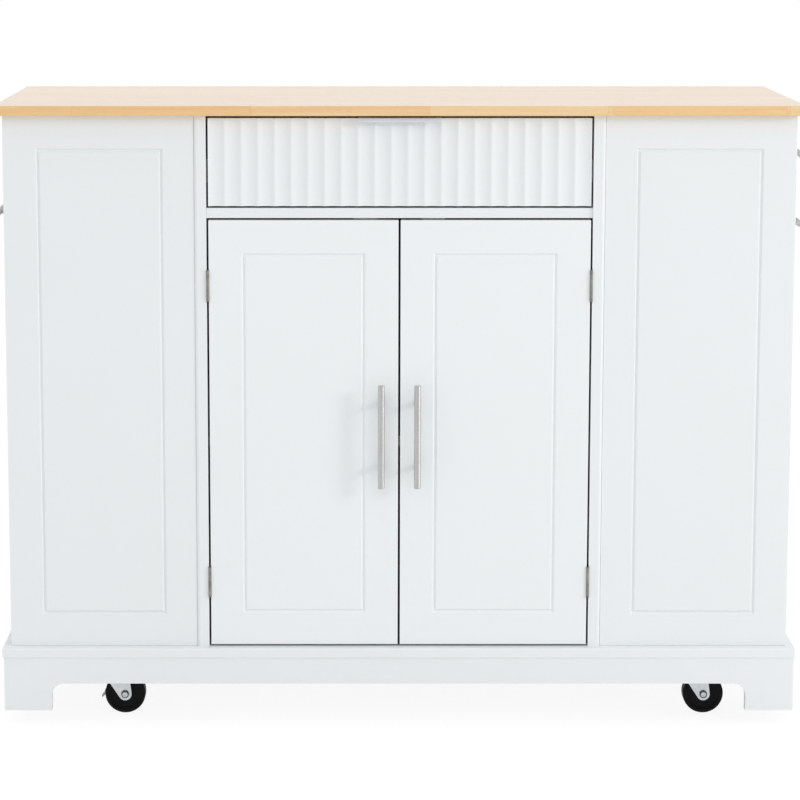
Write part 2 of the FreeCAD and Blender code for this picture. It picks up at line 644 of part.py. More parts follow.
def fluted_face():
    """Front of the centre drawer, with upright hollow flutes side by side."""
    x0, x1 = -CENTRE_HALF + GAP, CENTRE_HALF - GAP
    pitch = (x1 - x0) / FLUTE_COUNT
    land = FLUTE_LAND / 2
    edges = []
    last = V(x0, FACE_Y, FACE_LOW)
    for i in range(FLUTE_COUNT):
        start = V(x0 + i * pitch + land, FACE_Y, FACE_LOW)
        end = V(x0 + (i + 1) * pitch - land, FACE_Y, FACE_LOW)
        middle = (start + end) / 2 + Y * FLUTE_DEPTH
        edges += [Part.makeLine(last, start), Part.Arc(start, middle, end).toShape()]
        last = end
    corners = [last, V(x1, FACE_Y, FACE_LOW), V(x1, FACE_Y + DRAWER_FACE_THICK, FACE_LOW),
               V(x0, FACE_Y + DRAWER_FACE_THICK, FACE_LOW), V(x0, FACE_Y, FACE_LOW)]
    edges += [Part.makeLine(a, b) for a, b in zip(corners, corners[1:])]
    return Part.Face(Part.Wire(edges)).extrude(Z * (FACE_HIGH - FACE_LOW))


def drawer_pull():
    """Aluminium angle on the fluted front's top edge, its lip turned down."""
    half, lip = PULL_LENGTH / 2, FACE_Y - PULL_REACH
    top = FACE_HIGH + PULL_SHEET
    angle = box(-half, half, lip, FACE_Y + DRAWER_FACE_THICK - 2, FACE_HIGH, top)
    angle = angle.fuse(box(-half, half, lip, lip + PULL_SHEET, top - PULL_DROP, top))
    angle = angle.removeSplitter()
    nose = [e for e in angle.Edges if abs(e.Length - PULL_LENGTH) < 0.1
            and abs(e.CenterOfMass.y - lip) < 0.1 and abs(e.CenterOfMass.z - top) < 0.1]
    return angle.makeFillet(1.0, nose)


def side_drawer_face():
    y0, y1 = INNER_FRONT + GAP, INNER_BACK - GAP
    return board(BODY_HALF - BOARD, BODY_HALF, y0, y1, FACE_LOW, FACE_HIGH)


def side_drawer_box():
    return in_end(group([drawer_box(SIDE_WIDTH, SIDE_DRAWER_DEPTH),
                         drawer_base(SIDE_WIDTH, SIDE_DRAWER_DEPTH)]))


def side_drawer_handle():
    return bar_handle(V(BODY_HALF, END_MID, SIDE_DRAWER_HANDLE_Z), Y, X)


# ---- bin flap -------------------------------------------------------------------------------
def bin_flap():
    y0, y1 = INNER_FRONT + GAP, INNER_BACK - GAP
    panel = board(BODY_HALF - BOARD, BODY_HALF, y0, y1, DOOR_LOW, DOOR_HIGH)
    panel = panel.cut(end_groove(1, y0, y1, DOOR_LOW, DOOR_HIGH))
    return panel.cut(group(flap_knuckle_room()))


def bin_flap_handle():
    return bar_handle(V(BODY_HALF, END_MID, FLAP_HANDLE_Z), Y, X)


def bin_flap_fittings():
    x = BODY_HALF - BOARD
    strike = box(x - STRIKE_SHEET, x, END_MID - STRIKE.x / 2, END_MID + STRIKE.x / 2,
                 DOOR_HIGH - 2 - STRIKE.y, DOOR_HIGH - 2)
    return group(flap_hinges(butt_half(False)) + [strike])


def bin_cradle():
    """Floor, two cheeks and a back that hold a bin behind the flap, with two stop pegs."""
    low, x1 = DECK_TOP + 4, BODY_HALF - BOARD
    y0, y1 = END_MID - CRADLE_HALF, END_MID + CRADLE_HALF
    t = CRADLE_BOARD
    floor = box(CRADLE_BACK_X, x1, y0 + t, y1 - t, low, low + t)
    back = box(CRADLE_BACK_X, CRADLE_BACK_X + t, y0 + t, y1 - t, low + t, low + CHEEK_HEIGHT / 2)
    cheeks = [box(CRADLE_BACK_X, x1, y, y + t, low, low + CHEEK_HEIGHT) for y in (y0, y1 - t)]
    peg = FLAP_PIN + STOP_PEG
    pegs = [rod(V(peg.x, y0, peg.z), -Y, STOP_PEG_RADIUS, STOP_PEG_LENGTH),
            rod(V(peg.x, y1, peg.z), Y, STOP_PEG_RADIUS, STOP_PEG_LENGTH)]
    return group([floor, back] + cheeks + pegs)


def flap_stops():
    """Blocks on the front and back panels that the pegs meet when the flap is fully out."""
    turn = FreeCAD.Rotation(Y, STOP_ANGLE)
    peg = FLAP_PIN + turn.multVec(STOP_PEG)
    x = peg.x + STOP_PEG_RADIUS + 0.5
    reach = 37.0
    blocks = [box(x, x + 28, y, y + reach, peg.z - 20, peg.z + 28)
              for y in (INNER_FRONT, INNER_BACK - reach)]
    return group(blocks)


# ---- plinth ---------------------------------------------------------------------------------
def plinth_board(length, thick):
    """Board along local X with a foot at each end and a flat arch with round corners."""
    half = length / 2
    inner = half - FOOT_WIDTH
    height = DECK_UNDER - FOOT_BOTTOM
    arch = ARCH_TOP - FOOT_BOTTOM
    opening = box(-inner, inner, -1, thick + 1, -1, arch)
    corners = [e for e in opening.Edges if abs(e.Length - thick - 2) < 0.1
               and abs(e.CenterOfMass.z - arch) < 0.1]
    opening = opening.makeFillet(ARCH_RADIUS, corners)
    return box(-half, half, 0, thick, 0, height).cut(opening)


def plinth_front():
    return placed(plinth_board(2 * PLINTH_HALF, BOARD), V(0, PLINTH_FRONT, FOOT_BOTTOM), X, Y)


def plinth_back():
    return placed(plinth_board(2 * PLINTH_HALF, BOARD), V(0, PLINTH_BACK, FOOT_BOTTOM), -X, -Y)


def plinth_ends():
    """The two short boards, butted between the long ones."""
    length = PLINTH_BACK - PLINTH_FRONT - 2 * BOARD
    middle = (PLINTH_BACK + PLINTH_FRONT) / 2
    end = placed(plinth_board(length, BOARD), V(PLINTH_HALF, middle, FOOT_BOTTOM), Y, -X)
    return group([end, mirrored(end)])


# ---- casters --------------------------------------------------------------------------------
def caster_blocks():
    """Wooden blocks under the bottom board that bring the caster plates down to height."""
    half = PLATE_HALF + 6
    return group(board(x - half, x + half, y - half, y + half, CASTER_HEIGHT, DECK_UNDER)
                 for x, y, _ in CASTERS.values())


def caster_plate(x, y):
    """Square plate with a round race boss under it and the bore for the kingpin."""
    low = CASTER_HEIGHT - PLATE_THICK
    plate = box(x - PLATE_HALF, x + PLATE_HALF, y - PLATE_HALF, y + PLATE_HALF,
                low, CASTER_HEIGHT)
    boss = Part.makeCone(RACE_RADIUS, RACE_RADIUS + 5, low - RACE_HIGH - PLAY,
                         V(x, y, RACE_HIGH + PLAY), Z)
    bore = rod(V(x, y, RACE_HIGH), Z, KINGPIN_RADIUS + FIT, low - RACE_HIGH + 1)
    return plate.fuse(boss).cut(bore).removeSplitter()


def caster_plates():
    return group(caster_plate(x, y) for x, y, _ in CASTERS.values())


# Local axes of a fork: origin on the floor under the kingpin, wheel trailing towards +X.
def fork_leg():
    """Leg plate: round about the axle, its edges running up to the crown."""
    axle = V(CASTER_TRAIL, 0, WHEEL_RADIUS)
    left, right = V(LEG_TOP[0], 0, CROWN_HIGH), V(LEG_TOP[1], 0, CROWN_HIGH)

    def tangent(point, side):
        reach = point - axle
        swing = math.acos(LEG_ROUND / reach.Length)
        heading = math.atan2(reach.z, reach.x) + side * swing
        return axle + V(math.cos(heading), 0, math.sin(heading)) * LEG_ROUND

    leg = prism([left, tangent(left, 1), axle, tangent(right, -1), right], Y * FORK_SHEET)
    return leg.fuse(rod(axle, Y, LEG_ROUND, FORK_SHEET)).removeSplitter()


def caster_fork():
    """Stamped fork with its race and kingpin, and the wheel's axle bolt as a second solid."""
    axle = V(CASTER_TRAIL, 0, WHEEL_RADIUS)
    out = FORK_LEG + FORK_SHEET
    leg = fork_leg()
    legs = [leg.translated(Y * FORK_LEG), leg.translated(-Y * out)]
    crown = box(LEG_TOP[0], LEG_TOP[1], -out, out, CROWN_LOW, CROWN_HIGH)
    disc = rod(V(0, 0, CROWN_LOW), Z, RACE_RADIUS + 2, FORK_SHEET)
    race = rod(V(0, 0, CROWN_HIGH), Z, RACE_RADIUS, RACE_HEIGHT)
    kingpin = rod(V(0, 0, RACE_HIGH), Z, KINGPIN_RADIUS,
                  CASTER_HEIGHT - PLATE_THICK - RACE_HIGH)
    fork = legs[0].fuse([legs[1], crown, disc, race, kingpin])
    fork = fork.cut(rod(axle - Y * 2 * out, Y, AXLE_RADIUS, 4 * out)).removeSplitter()
    bolt = rod(axle - Y * out, Y, AXLE_RADIUS, 2 * out)
    for end in (-1, 1):
        head = rod(axle + Y * end * out, Y * end, BOLT_HEAD_RADIUS, BOLT_HEAD)
        rim = [e for e in head.Edges if e.isClosed()
               and abs(abs(e.CenterOfMass.y) - out - BOLT_HEAD) < 0.1]
        bolt = bolt.fuse(head.makeChamfer(0.8, rim))
    return group([fork, bolt.removeSplitter()])


def caster_wheel():
    """Turned wheel: rounded tread, dished sides and a hub, on the axle bolt."""
    half, r = WHEEL_WIDTH / 2, WHEEL_RADIUS
    bore = AXLE_RADIUS + FIT
    dish, hub, rim = 2.0, 11.0, 24.0
    flat, curve = half - 3, 3.0
    points = [V(bore, -half, 0), V(hub, -half, 0), V(hub + 1, -half + dish, 0),
              V(rim - 1, -half + dish, 0), V(rim, -half, 0), V(r - curve, -half, 0)]
    other = [V(p.x, -p.y, 0) for p in reversed(points)]
    bend = curve * (1 - math.sqrt(0.5))
    edges = [Part.makeLine(a, b) for a, b in zip(points, points[1:])]
    edges.append(Part.Arc(points[-1], V(r - bend, -half + bend, 0), V(r, -flat, 0)).toShape())
    edges.append(Part.makeLine(V(r, -flat, 0), V(r, flat, 0)))
    edges.append(Part.Arc(V(r, flat, 0), V(r - bend, half - bend, 0), other[0]).toShape())
    edges += [Part.makeLine(a, b) for a, b in zip(other, other[1:])]
    edges.append(Part.makeLine(other[-1], points[0]))
    wheel = Part.Face(Part.Wire(edges)).revolve(V(0, 0, 0), Y, 360)
    return wheel.translated(V(CASTER_TRAIL, 0, WHEEL_RADIUS))


def brake_lever():
    """Lever on the fork's far leg, with a foot tab bent out at its lower end."""
    near = FORK_LEG + FORK_SHEET + 1
    pivot = BRAKE_PIVOT + Y * near
    knee = BRAKE_KNEE + Y * near
    run = knee - pivot
    side = V(-run.z, 0, run.x).normalize() * BRAKE_BAR / 2
    bar = prism([pivot + side, knee + side, knee - side, pivot - side], Y * BRAKE_SHEET)
    ends = [rod(p, Y, BRAKE_BAR / 2, BRAKE_SHEET) for p in (pivot, knee)]
    tip = BRAKE_TIP + Y * near
    reach = tip - knee
    thick = V(-reach.z, 0, reach.x).normalize()
    tab = prism([knee + thick, tip + thick, tip - thick, knee - thick], Y * BRAKE_TAB)
    lever = bar.fuse(ends + [tab])
    return lever.cut(rod(pivot - Y, Y, BRAKE_PIN_RADIUS + FIT, BRAKE_SHEET + 2)).removeSplitter()


def brake_pin():
    """Rivet that the brake lever turns on, part of a braked fork."""
    start = BRAKE_PIVOT + Y * (FORK_LEG + FORK_SHEET)
    shank = rod(start, Y, BRAKE_PIN_RADIUS, 1 + BRAKE_SHEET + PLAY)
    return shank.fuse(rod(start + Y * (1 + BRAKE_SHEET + PLAY), Y, 4, 1.5)).removeSplitter()


def at_caster(shape, name):
    x, y, trail = CASTERS[name]
    return placed(shape, V(x, y, 0), X * trail, Y * trail)


def fork_at(name):
    fork = caster_fork()
    if name in BRAKED:
        boss, bolt = fork.Solids
        fork = group([boss.fuse(brake_pin()).removeSplitter(), bolt])
    return at_caster(fork, name)


# ---- all the nodes --------------------------------------------------------------------------
def nodes():
    made = {
        "worktop": worktop(),
        "bottom_board": bottom_board(),
        "front_panel_right": side_panel(),
        "front_panel_left": mirrored(side_panel()).cut(group(left_bay_pins(PIN_HOLE_RADIUS))),
        "partition_right": partition(),
        "partition_left": mirrored(partition()),
        "back_panel": back_panel(),
        "cabinet_rails": cabinet_rails(),
        "plinth_front": plinth_front(),
        "plinth_back": plinth_back(),
        "plinth_ends": plinth_ends(),
        "caster_blocks": caster_blocks(),
        "shelves": shelves(),
        "shelf_pins": shelf_pins(),
        "hinge_frame_leaves": hinge_frame_leaves(),
        "hinge_pins": hinge_pins(),
        "leaf_hinge_top_plates": leaf_hinges(True),
        "stay_brackets": group(stay_bracket(x) for x in (-STAY_X, STAY_X)),
        "runner_channels": runner_channels(),
        "magnetic_catches": magnetic_catches(),
        "caster_plates": caster_plates(),
        "flap_stops": flap_stops(),
        "drop_leaf": drop_leaf(),
        "leaf_hinge_flap_plates": leaf_hinges(False),
        "stay_rails": group(stay_rail(x) for x in (-STAY_X, STAY_X)),
        "stay_arm_left": stay_arm(-STAY_X),
        "stay_arm_right": stay_arm(STAY_X),
        "front_drawer_face": fluted_face(),
        "front_drawer_pull": drawer_pull(),
        "front_drawer_box": in_front(drawer_box(FRONT_WIDTH, FRONT_DRAWER_DEPTH)),
        "front_drawer_base": in_front(drawer_base(FRONT_WIDTH, FRONT_DRAWER_DEPTH)),
        "front_drawer_slides": in_front(slides(FRONT_WIDTH, FRONT_DRAWER_DEPTH)),
        "door_right": door(),
        "door_left": mirrored(door()),
        "door_handle_right": door_handle(),
        "door_handle_left": mirrored(door_handle()),
        "door_fittings_right": door_fittings(),
        "door_fittings_left": mirrored(door_fittings()),
        "end_door": end_door(),
        "end_door_rail": end_door_rail(),
        "end_door_fittings": end_door_fittings(),
        "side_drawer_face": side_drawer_face(),
        "side_drawer_handle": side_drawer_handle(),
        "side_drawer_box": side_drawer_box(),
        "side_drawer_slides": in_end(slides(SIDE_WIDTH, SIDE_DRAWER_DEPTH)),
        "bin_flap": bin_flap(),
        "bin_flap_handle": bin_flap_handle(),
        "bin_flap_fittings": bin_flap_fittings(),
        "bin_cradle": bin_cradle(),
    }
    for name in CASTERS:
        made["caster_fork_" + name] = fork_at(name)
        made["caster_wheel_" + name] = at_caster(caster_wheel(), name)
    for name in BRAKED:
        made["brake_lever_" + name] = at_caster(brake_lever(), name)
    return made


os.makedirs("parts", exist_ok=True)
for node, shape in nodes().items():
    if not shape.isValid():
        print("not valid:", node)
    shape.exportStep("parts/" + node + ".step")
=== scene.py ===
import bmesh
import bpy
import json
import math
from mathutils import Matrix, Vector
import numpy as np

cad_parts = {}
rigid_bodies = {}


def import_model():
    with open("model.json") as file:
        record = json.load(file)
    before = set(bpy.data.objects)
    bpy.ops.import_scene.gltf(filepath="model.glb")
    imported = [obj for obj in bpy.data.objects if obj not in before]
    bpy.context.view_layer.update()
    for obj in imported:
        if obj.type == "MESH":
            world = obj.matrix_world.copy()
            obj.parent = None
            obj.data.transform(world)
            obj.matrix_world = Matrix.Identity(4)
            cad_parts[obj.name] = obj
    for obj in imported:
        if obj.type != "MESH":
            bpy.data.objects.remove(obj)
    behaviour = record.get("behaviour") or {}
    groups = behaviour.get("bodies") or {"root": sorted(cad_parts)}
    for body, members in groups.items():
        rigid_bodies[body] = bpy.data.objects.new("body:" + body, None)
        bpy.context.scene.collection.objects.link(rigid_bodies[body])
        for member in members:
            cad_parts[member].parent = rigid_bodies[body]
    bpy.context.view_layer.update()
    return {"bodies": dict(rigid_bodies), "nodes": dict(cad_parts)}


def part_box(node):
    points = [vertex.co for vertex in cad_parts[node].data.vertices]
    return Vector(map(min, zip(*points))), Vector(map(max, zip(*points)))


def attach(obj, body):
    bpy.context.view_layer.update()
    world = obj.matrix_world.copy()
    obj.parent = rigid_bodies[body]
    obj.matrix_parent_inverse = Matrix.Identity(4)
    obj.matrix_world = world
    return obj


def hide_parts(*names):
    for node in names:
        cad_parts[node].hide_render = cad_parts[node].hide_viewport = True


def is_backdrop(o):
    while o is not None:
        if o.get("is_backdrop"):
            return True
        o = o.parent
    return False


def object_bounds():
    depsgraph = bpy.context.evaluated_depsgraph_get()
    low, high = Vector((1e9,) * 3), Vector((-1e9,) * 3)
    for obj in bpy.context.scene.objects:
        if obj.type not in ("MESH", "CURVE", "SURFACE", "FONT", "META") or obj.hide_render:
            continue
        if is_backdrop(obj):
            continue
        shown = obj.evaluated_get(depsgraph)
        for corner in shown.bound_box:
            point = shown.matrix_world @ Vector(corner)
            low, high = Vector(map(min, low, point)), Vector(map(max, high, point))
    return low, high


# Drop leaf kitchen island. Shapes are written in millimetres and colours as they look, from 0
# to 255. The front faces -Y, and left and right are as seen from the front.
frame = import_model()


# ---- worktop ---------------------------------------------------------------------------------
# One board of pale rubberwood staves, glued edge to edge and finger-jointed end to end, then
# sanded and oiled. It lies on the cabinet and is fixed to it from below.
def colour(red, green, blue):
    """A colour given as it looks, 0 to 255, in the linear numbers that a shader takes."""
    parts = np.array([red, green, blue]) / 255
    linear = np.where(parts > 0.04045, ((parts + 0.055) / 1.055) ** 2.4, parts / 12.92)
    return (*linear.tolist(), 1.0)


def add(tree, kind, sockets=None, **settings):
    """Adds one shader node. sockets gives its inputs: numbers, colours or other outputs."""
    made = tree.nodes.new("ShaderNode" + kind)
    for name, value in settings.items():
        setattr(made, name, value)
    for name, value in (sockets or {}).items():
        if isinstance(value, bpy.types.NodeSocket):
            tree.links.new(value, made.inputs[name])
        else:
            made.inputs[name].default_value = value
    return made


def calc(tree, operation, a, b=0.0, c=0.0):
    """The result of one Math node."""
    return add(tree, "Math", {0: a, 1: b, 2: c}, operation=operation).outputs[0]


def ramp(tree, value, low, high, to_low=0.0, to_high=1.0):
    """A value carried smoothly from one range to another, and held at the ends."""
    sockets = {"Value": value, "From Min": low, "From Max": high, "To Min": to_low,
               "To Max": to_high}
    return add(tree, "MapRange", sockets, interpolation_type="SMOOTHSTEP").outputs[0]


def tint(tree, factor, first, second):
    """A colour part of the way from the first to the second."""
    return add(tree, "Mix", {0: factor, 6: first, 7: second}, data_type="RGBA").outputs[2]


def noise(tree, point, stretch, detail=2.0, roughness=0.5):
    """Noise from 0 to 1, at stretch waves a metre along each axis."""
    scaled = add(tree, "VectorMath", {0: point, 1: stretch}, operation="MULTIPLY").outputs[0]
    sockets = {"Vector": scaled, "Scale": 1.0, "Detail": detail, "Roughness": roughness}
    return add(tree, "TexNoise", sockets).outputs[0]


def new_group(name, takes, gives):
    """An empty node group: its tree, its inputs and its outputs."""
    tree = bpy.data.node_groups.new(name, "ShaderNodeTree")
    for side, sockets in (("INPUT", takes), ("OUTPUT", gives)):
        for socket, kind in sockets.items():
            tree.interface.new_socket(socket, in_out=side, socket_type="NodeSocket" + kind)
    return tree, tree.nodes.new("NodeGroupInput").outputs, tree.nodes.new("NodeGroupOutput").inputs


def use_group(tree, group, sockets):
    placed = tree.nodes.new("ShaderNodeGroup")
    placed.node_tree = group
    for name, value in sockets.items():
        if isinstance(value, bpy.types.NodeSocket):
            tree.links.new(value, placed.inputs[name])
        else:
            placed.inputs[name].default_value = value
    return placed.outputs


def new_finish(name, base, roughness, metallic=0.0, more=()):
    """A material: returns it with its tree, its shader's inputs and the place on the object."""
    material = bpy.data.materials.new(name)
    material.use_nodes = True
    tree = material.node_tree
    inputs = tree.nodes["Principled BSDF"].inputs
    inputs["Base Color"].default_value = base
    inputs["Roughness"].default_value = roughness
    inputs["Metallic"].default_value = metallic
    for socket, value in more:
        inputs[socket].default_value = value
    return material, tree, inputs, add(tree, "TexCoord").outputs["Object"]


def set_relief(tree, inputs, height, distance):
    """Fine relief on the surface, distance metres from its lowest to its highest."""
    bump = add(tree, "Bump", {"Height": height, "Distance": distance, "Strength": 1.0})
    tree.links.new(bump.outputs[0], inputs["Normal"])


def cover(material, *nodes):
    """Gives CAD nodes their finish."""
    for node in nodes:
        slots = frame["nodes"][node].data.materials
        slots.clear()
        slots.append(material)


# Grain runs along X. Its rings are waves over the other two axes, in radians a metre, and a
# slow noise makes them wander.
rings_across, rings_through, ring_wander = 620.0, 260.0, 34.0
wood_grain, takes, gives = new_group(
    "wood_grain", {"Point": "Vector", "Seed": "Float"},
    {"Streak": "Float", "Ring": "Float", "Pore": "Float", "Fibre": "Float"})
shift = add(wood_grain, "CombineXYZ", {0: takes["Seed"], 1: takes["Seed"], 2: takes["Seed"]})
spot = add(wood_grain, "VectorMath", {0: shift.outputs[0], 1: (7.3, 2.1, 3.7)},
           operation="MULTIPLY").outputs[0]
spot = add(wood_grain, "VectorMath", {0: takes["Point"], 1: spot}, operation="ADD").outputs[0]
wander = noise(wood_grain, spot, (2.5, 26, 26), 2.0)
across = add(wood_grain, "SeparateXYZ", {0: spot})
turn = calc(wood_grain, "MULTIPLY_ADD", across.outputs[1], rings_across,
            calc(wood_grain, "MULTIPLY", wander, ring_wander))
turn = calc(wood_grain, "MULTIPLY_ADD", across.outputs[2], rings_through, turn)
ring = calc(wood_grain, "MULTIPLY_ADD", calc(wood_grain, "SINE", turn), 0.5, 0.5)
pores = ramp(wood_grain, noise(wood_grain, spot, (70, 1900, 1900), 1.0), 0.64, 0.74)
wood_grain.links.new(noise(wood_grain, spot, (5, 170, 170), 5.0, 0.6), gives["Streak"])
wood_grain.links.new(ring, gives["Ring"])
wood_grain.links.new(pores, gives["Pore"])
wood_grain.links.new(noise(wood_grain, spot, (30, 1100, 1100), 2.0), gives["Fibre"])

# Staves of one length, each row shifted by chance. The joints between two lengths zigzag
# across the face, as cut fingers do, and show as plain lines on the board's edge. All in metres.
stave_width, stave_length = 0.046, 0.263
finger_width, finger_slope = 0.0025, 2.4
glue_line, glue_edge = 0.0001, 0.0006
staves, takes, gives = new_group(
    "joined_staves", {"Point": "Vector", "Row Width": "Float", "Length": "Float"},
    {"Key": "Float", "Tone": "Float", "Joint": "Float", "Row": "Float"})
place = add(staves, "SeparateXYZ", {0: takes["Point"]})
row_at = calc(staves, "DIVIDE", place.outputs[1], takes["Row Width"])
row = calc(staves, "FLOOR", row_at)
fingers = calc(staves, "PINGPONG", place.outputs[1], finger_width)
along = calc(staves, "MULTIPLY_ADD", fingers, finger_slope, place.outputs[0])
row_key = add(staves, "TexWhiteNoise", {"W": row}, noise_dimensions="1D").outputs["Value"]
row_shift = calc(staves, "MULTIPLY", row_key, calc(staves, "MINIMUM", row, 1.0))
piece_at = calc(staves, "ADD", calc(staves, "DIVIDE", along, takes["Length"]), row_shift)
piece = calc(staves, "FLOOR", piece_at)
pair = add(staves, "CombineXYZ", {0: piece, 1: row}).outputs[0]
key = add(staves, "TexWhiteNoise", {"Vector": pair}, noise_dimensions="2D")
row_edge = calc(staves, "MULTIPLY", calc(staves, "PINGPONG", row_at, 0.5), takes["Row Width"])
piece_edge = calc(staves, "MULTIPLY", calc(staves, "PINGPONG", piece_at, 0.5), takes["Length"])
line = calc(staves, "MINIMUM", row_edge, piece_edge)
staves.links.new(key.outputs["Value"], gives["Key"])
staves.links.new(add(staves, "SeparateColor", {0: key.outputs["Color"]}).outputs[2],
                 gives["Tone"])
staves.links.new(ramp(staves, line, glue_line, glue_edge, 1.0, 0.0), gives["Joint"])
staves.links.new(row, gives["Row"])


def oiled_wood(name, turned, start, front_row):
    """Stave board. turned maps the object's axes to along, across and through the board, and
    front_row, where given, sets the tones of the first row."""
    material, tree, inputs, point = new_finish(
        name, colour(238, 200, 150), 0.36, more=(("Coat Weight", 1.0), ("Coat Roughness", 0.22)))
    spot = add(tree, "Mapping", {"Vector": point, "Location": start, "Rotation": turned},
               vector_type="POINT").outputs[0]
    laid = use_group(tree, staves, {"Point": spot, "Row Width": stave_width,
                                    "Length": stave_length})
    grain = use_group(tree, wood_grain, {"Point": spot, "Seed": laid["Key"]})
    tone = calc(tree, "MULTIPLY_ADD", laid["Tone"], 0.6, 0.2)
    if front_row:
        along = add(tree, "SeparateXYZ", {0: spot}).outputs[0]
        share = calc(tree, "MULTIPLY_ADD", along, 1 / worktop_length, 0.5)
        strip = add(tree, "ValToRGB", {0: share})
        strip.color_ramp.interpolation = "CONSTANT"
        in_front = calc(tree, "LESS_THAN", laid["Row"], 0.5)
        tone = add(tree, "Mix", {0: in_front, 2: tone, 3: strip.outputs[0]}).outputs[0]
        front_row(strip.color_ramp)
    body = tint(tree, tone, colour(239, 195, 138), colour(242, 213, 163))
    body = tint(tree, ramp(tree, grain["Streak"], 0.3, 0.7, 0.0, 0.4), body,
                colour(226, 174, 116))
    body = tint(tree, calc(tree, "MULTIPLY", grain["Ring"], 0.12), body, colour(219, 163, 104))
    body = tint(tree, calc(tree, "MULTIPLY", grain["Pore"], 0.3), body, colour(186, 134, 86))
    body = tint(tree, calc(tree, "MULTIPLY", laid["Joint"], 0.22), body, colour(178, 124, 78))
    tree.links.new(body, inputs["Base Color"])
    tree.links.new(ramp(tree, grain["Fibre"], 0.2, 0.8, 0.30, 0.44), inputs["Roughness"])
    relief = calc(tree, "MULTIPLY_ADD", grain["Pore"], -0.6, grain["Fibre"])
    relief = calc(tree, "MULTIPLY_ADD", laid["Joint"], -1.0, relief)
    set_relief(tree, inputs, relief, 0.00006)
    return material


def worktop_front_row(tones):
    """The front row as photographed, darker and paler lengths from left to right: where each
    starts, as a share of the worktop's length, and its tone."""
    lengths = ((0.0, 0.15), (0.0617, 0.1), (0.2808, 0.45), (0.5, 0.85), (0.7192, 0.35),
               (0.9383, 0.9))
    for number, (position, tone) in enumerate(lengths):
        if number >= len(tones.elements):
            tones.elements.new(position)
        tones.elements[number].position = position
        tones.elements[number].color = (tone, tone, tone, 1)


worktop_length = 1.2
first_stave = (-0.045, 0.234, 0)
cover(oiled_wood("worktop_wood", (0, 0, 0), first_stave, worktop_front_row), "worktop")


# ---- drop leaf -------------------------------------------------------------------------------
# The same board of joined staves, 290 mm wide, sanded and oiled like the worktop. It hangs
# behind the cabinet on three steel hinges.
hanging = (math.radians(90), 0, 0)
first_stave = (0.11, 1.15, 0)
cover(oiled_wood("drop_leaf_wood", hanging, first_stave, None), "drop_leaf")


# ---- painted boards --------------------------------------------------------------------------
# Cut from 15 and 18 mm fibreboard, edges rounded a little, routed where they face out, and
# sprayed in a cool satin white. The spray leaves a faint orange peel.
painted_skin, takes, gives = new_group(
    "painted_skin", {"Point": "Vector", "Seed": "Float"},
    {"Drift": "Float", "Gloss": "Float", "Peel": "Float"})
spot = add(painted_skin, "VectorMath", {0: takes["Point"], 1: takes["Seed"]},
           operation="ADD").outputs[0]
peel = noise(painted_skin, spot, (210, 210, 210), 1.5)
grit = noise(painted_skin, spot, (1500, 1500, 1500), 1.0)
painted_skin.links.new(noise(painted_skin, spot, (3.5, 3.5, 3.5), 3.0), gives["Drift"])
painted_skin.links.new(noise(painted_skin, spot, (16, 16, 9), 4.0, 0.6), gives["Gloss"])
painted_skin.links.new(calc(painted_skin, "MULTIPLY_ADD", grit, 0.25, peel), gives["Peel"])

# Paint goes on thinner over a board's edges, and the boards are painted paler there, which is
# also a painted highlight, the light that catches the rounded edges. A point is near an edge
# where the second smallest of its distances to the board's three pairs of faces is small.
board_edge, takes, gives = new_group(
    "board_edge", {"Point": "Vector", "Low": "Vector", "High": "Vector", "Reach": "Float"},
    {"Edge": "Float"})
from_low = add(board_edge, "VectorMath", {0: takes["Point"], 1: takes["Low"]},
               operation="SUBTRACT").outputs[0]
from_high = add(board_edge, "VectorMath", {0: takes["High"], 1: takes["Point"]},
                operation="SUBTRACT").outputs[0]
near = add(board_edge, "VectorMath", {0: from_low, 1: from_high}, operation="MINIMUM").outputs[0]
gaps = add(board_edge, "SeparateXYZ", {0: near}).outputs
small = calc(board_edge, "MINIMUM", gaps[0], gaps[1])
large = calc(board_edge, "MAXIMUM", gaps[0], gaps[1])
second = calc(board_edge, "MAXIMUM", small, calc(board_edge, "MINIMUM", large, gaps[2]))
edge_share = calc(board_edge, "DIVIDE", second, takes["Reach"])
board_edge.links.new(ramp(board_edge, edge_share, 0.0, 1.0, 1.0, 0.0), gives["Edge"])


thin_paint_and_highlight_reach = 0.0035


def white_paint(node, seed, shade=0.0):
    """Satin white for one board. shade makes it a little deeper, and below 0 a little paler."""
    material, tree, inputs, point = new_finish(node + "_paint", colour(234, 237, 238), 0.4,
                                               more=(("Specular IOR Level", 0.45),))
    skin = use_group(tree, painted_skin, {"Point": point, "Seed": seed})
    low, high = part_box(node)
    edge = use_group(tree, board_edge, {"Point": point, "Low": tuple(low),
                                        "High": tuple(high), "Reach": thin_paint_and_highlight_reach})["Edge"]
    # Near its edges the board is painted paler: thinner paint there, and a painted highlight where
    # light catches the rounded edge.
    thin_paint_and_edge_highlight = calc(tree, "MULTIPLY", edge, ramp(tree, skin["Gloss"], 0.3, 0.7, 0.3, 1.0))
    body = tint(tree, skin["Drift"], colour(232 - shade, 236 - shade, 237 - shade),
                colour(236 - shade, 239 - shade, 241 - shade))
    body = tint(tree, calc(tree, "MULTIPLY", thin_paint_and_edge_highlight, 0.6), body, colour(243, 245, 246))
    tree.links.new(body, inputs["Base Color"])
    tree.links.new(ramp(tree, skin["Gloss"], 0.25, 0.75, 0.34, 0.47), inputs["Roughness"])
    set_relief(tree, inputs, skin["Peel"], 0.00003)
    return material


seed_step, door_shade = 0.37, -3
for number, node in enumerate((
        "bottom_board", "front_panel_left", "front_panel_right", "partition_left",
        "partition_right", "back_panel", "cabinet_rails", "plinth_front", "plinth_back",
        "plinth_ends", "door_left", "door_right", "end_door", "side_drawer_face", "bin_flap")):
    shade = door_shade if node in ("door_left", "door_right") else 0
    cover(white_paint(node, seed_step * number, shade), node)


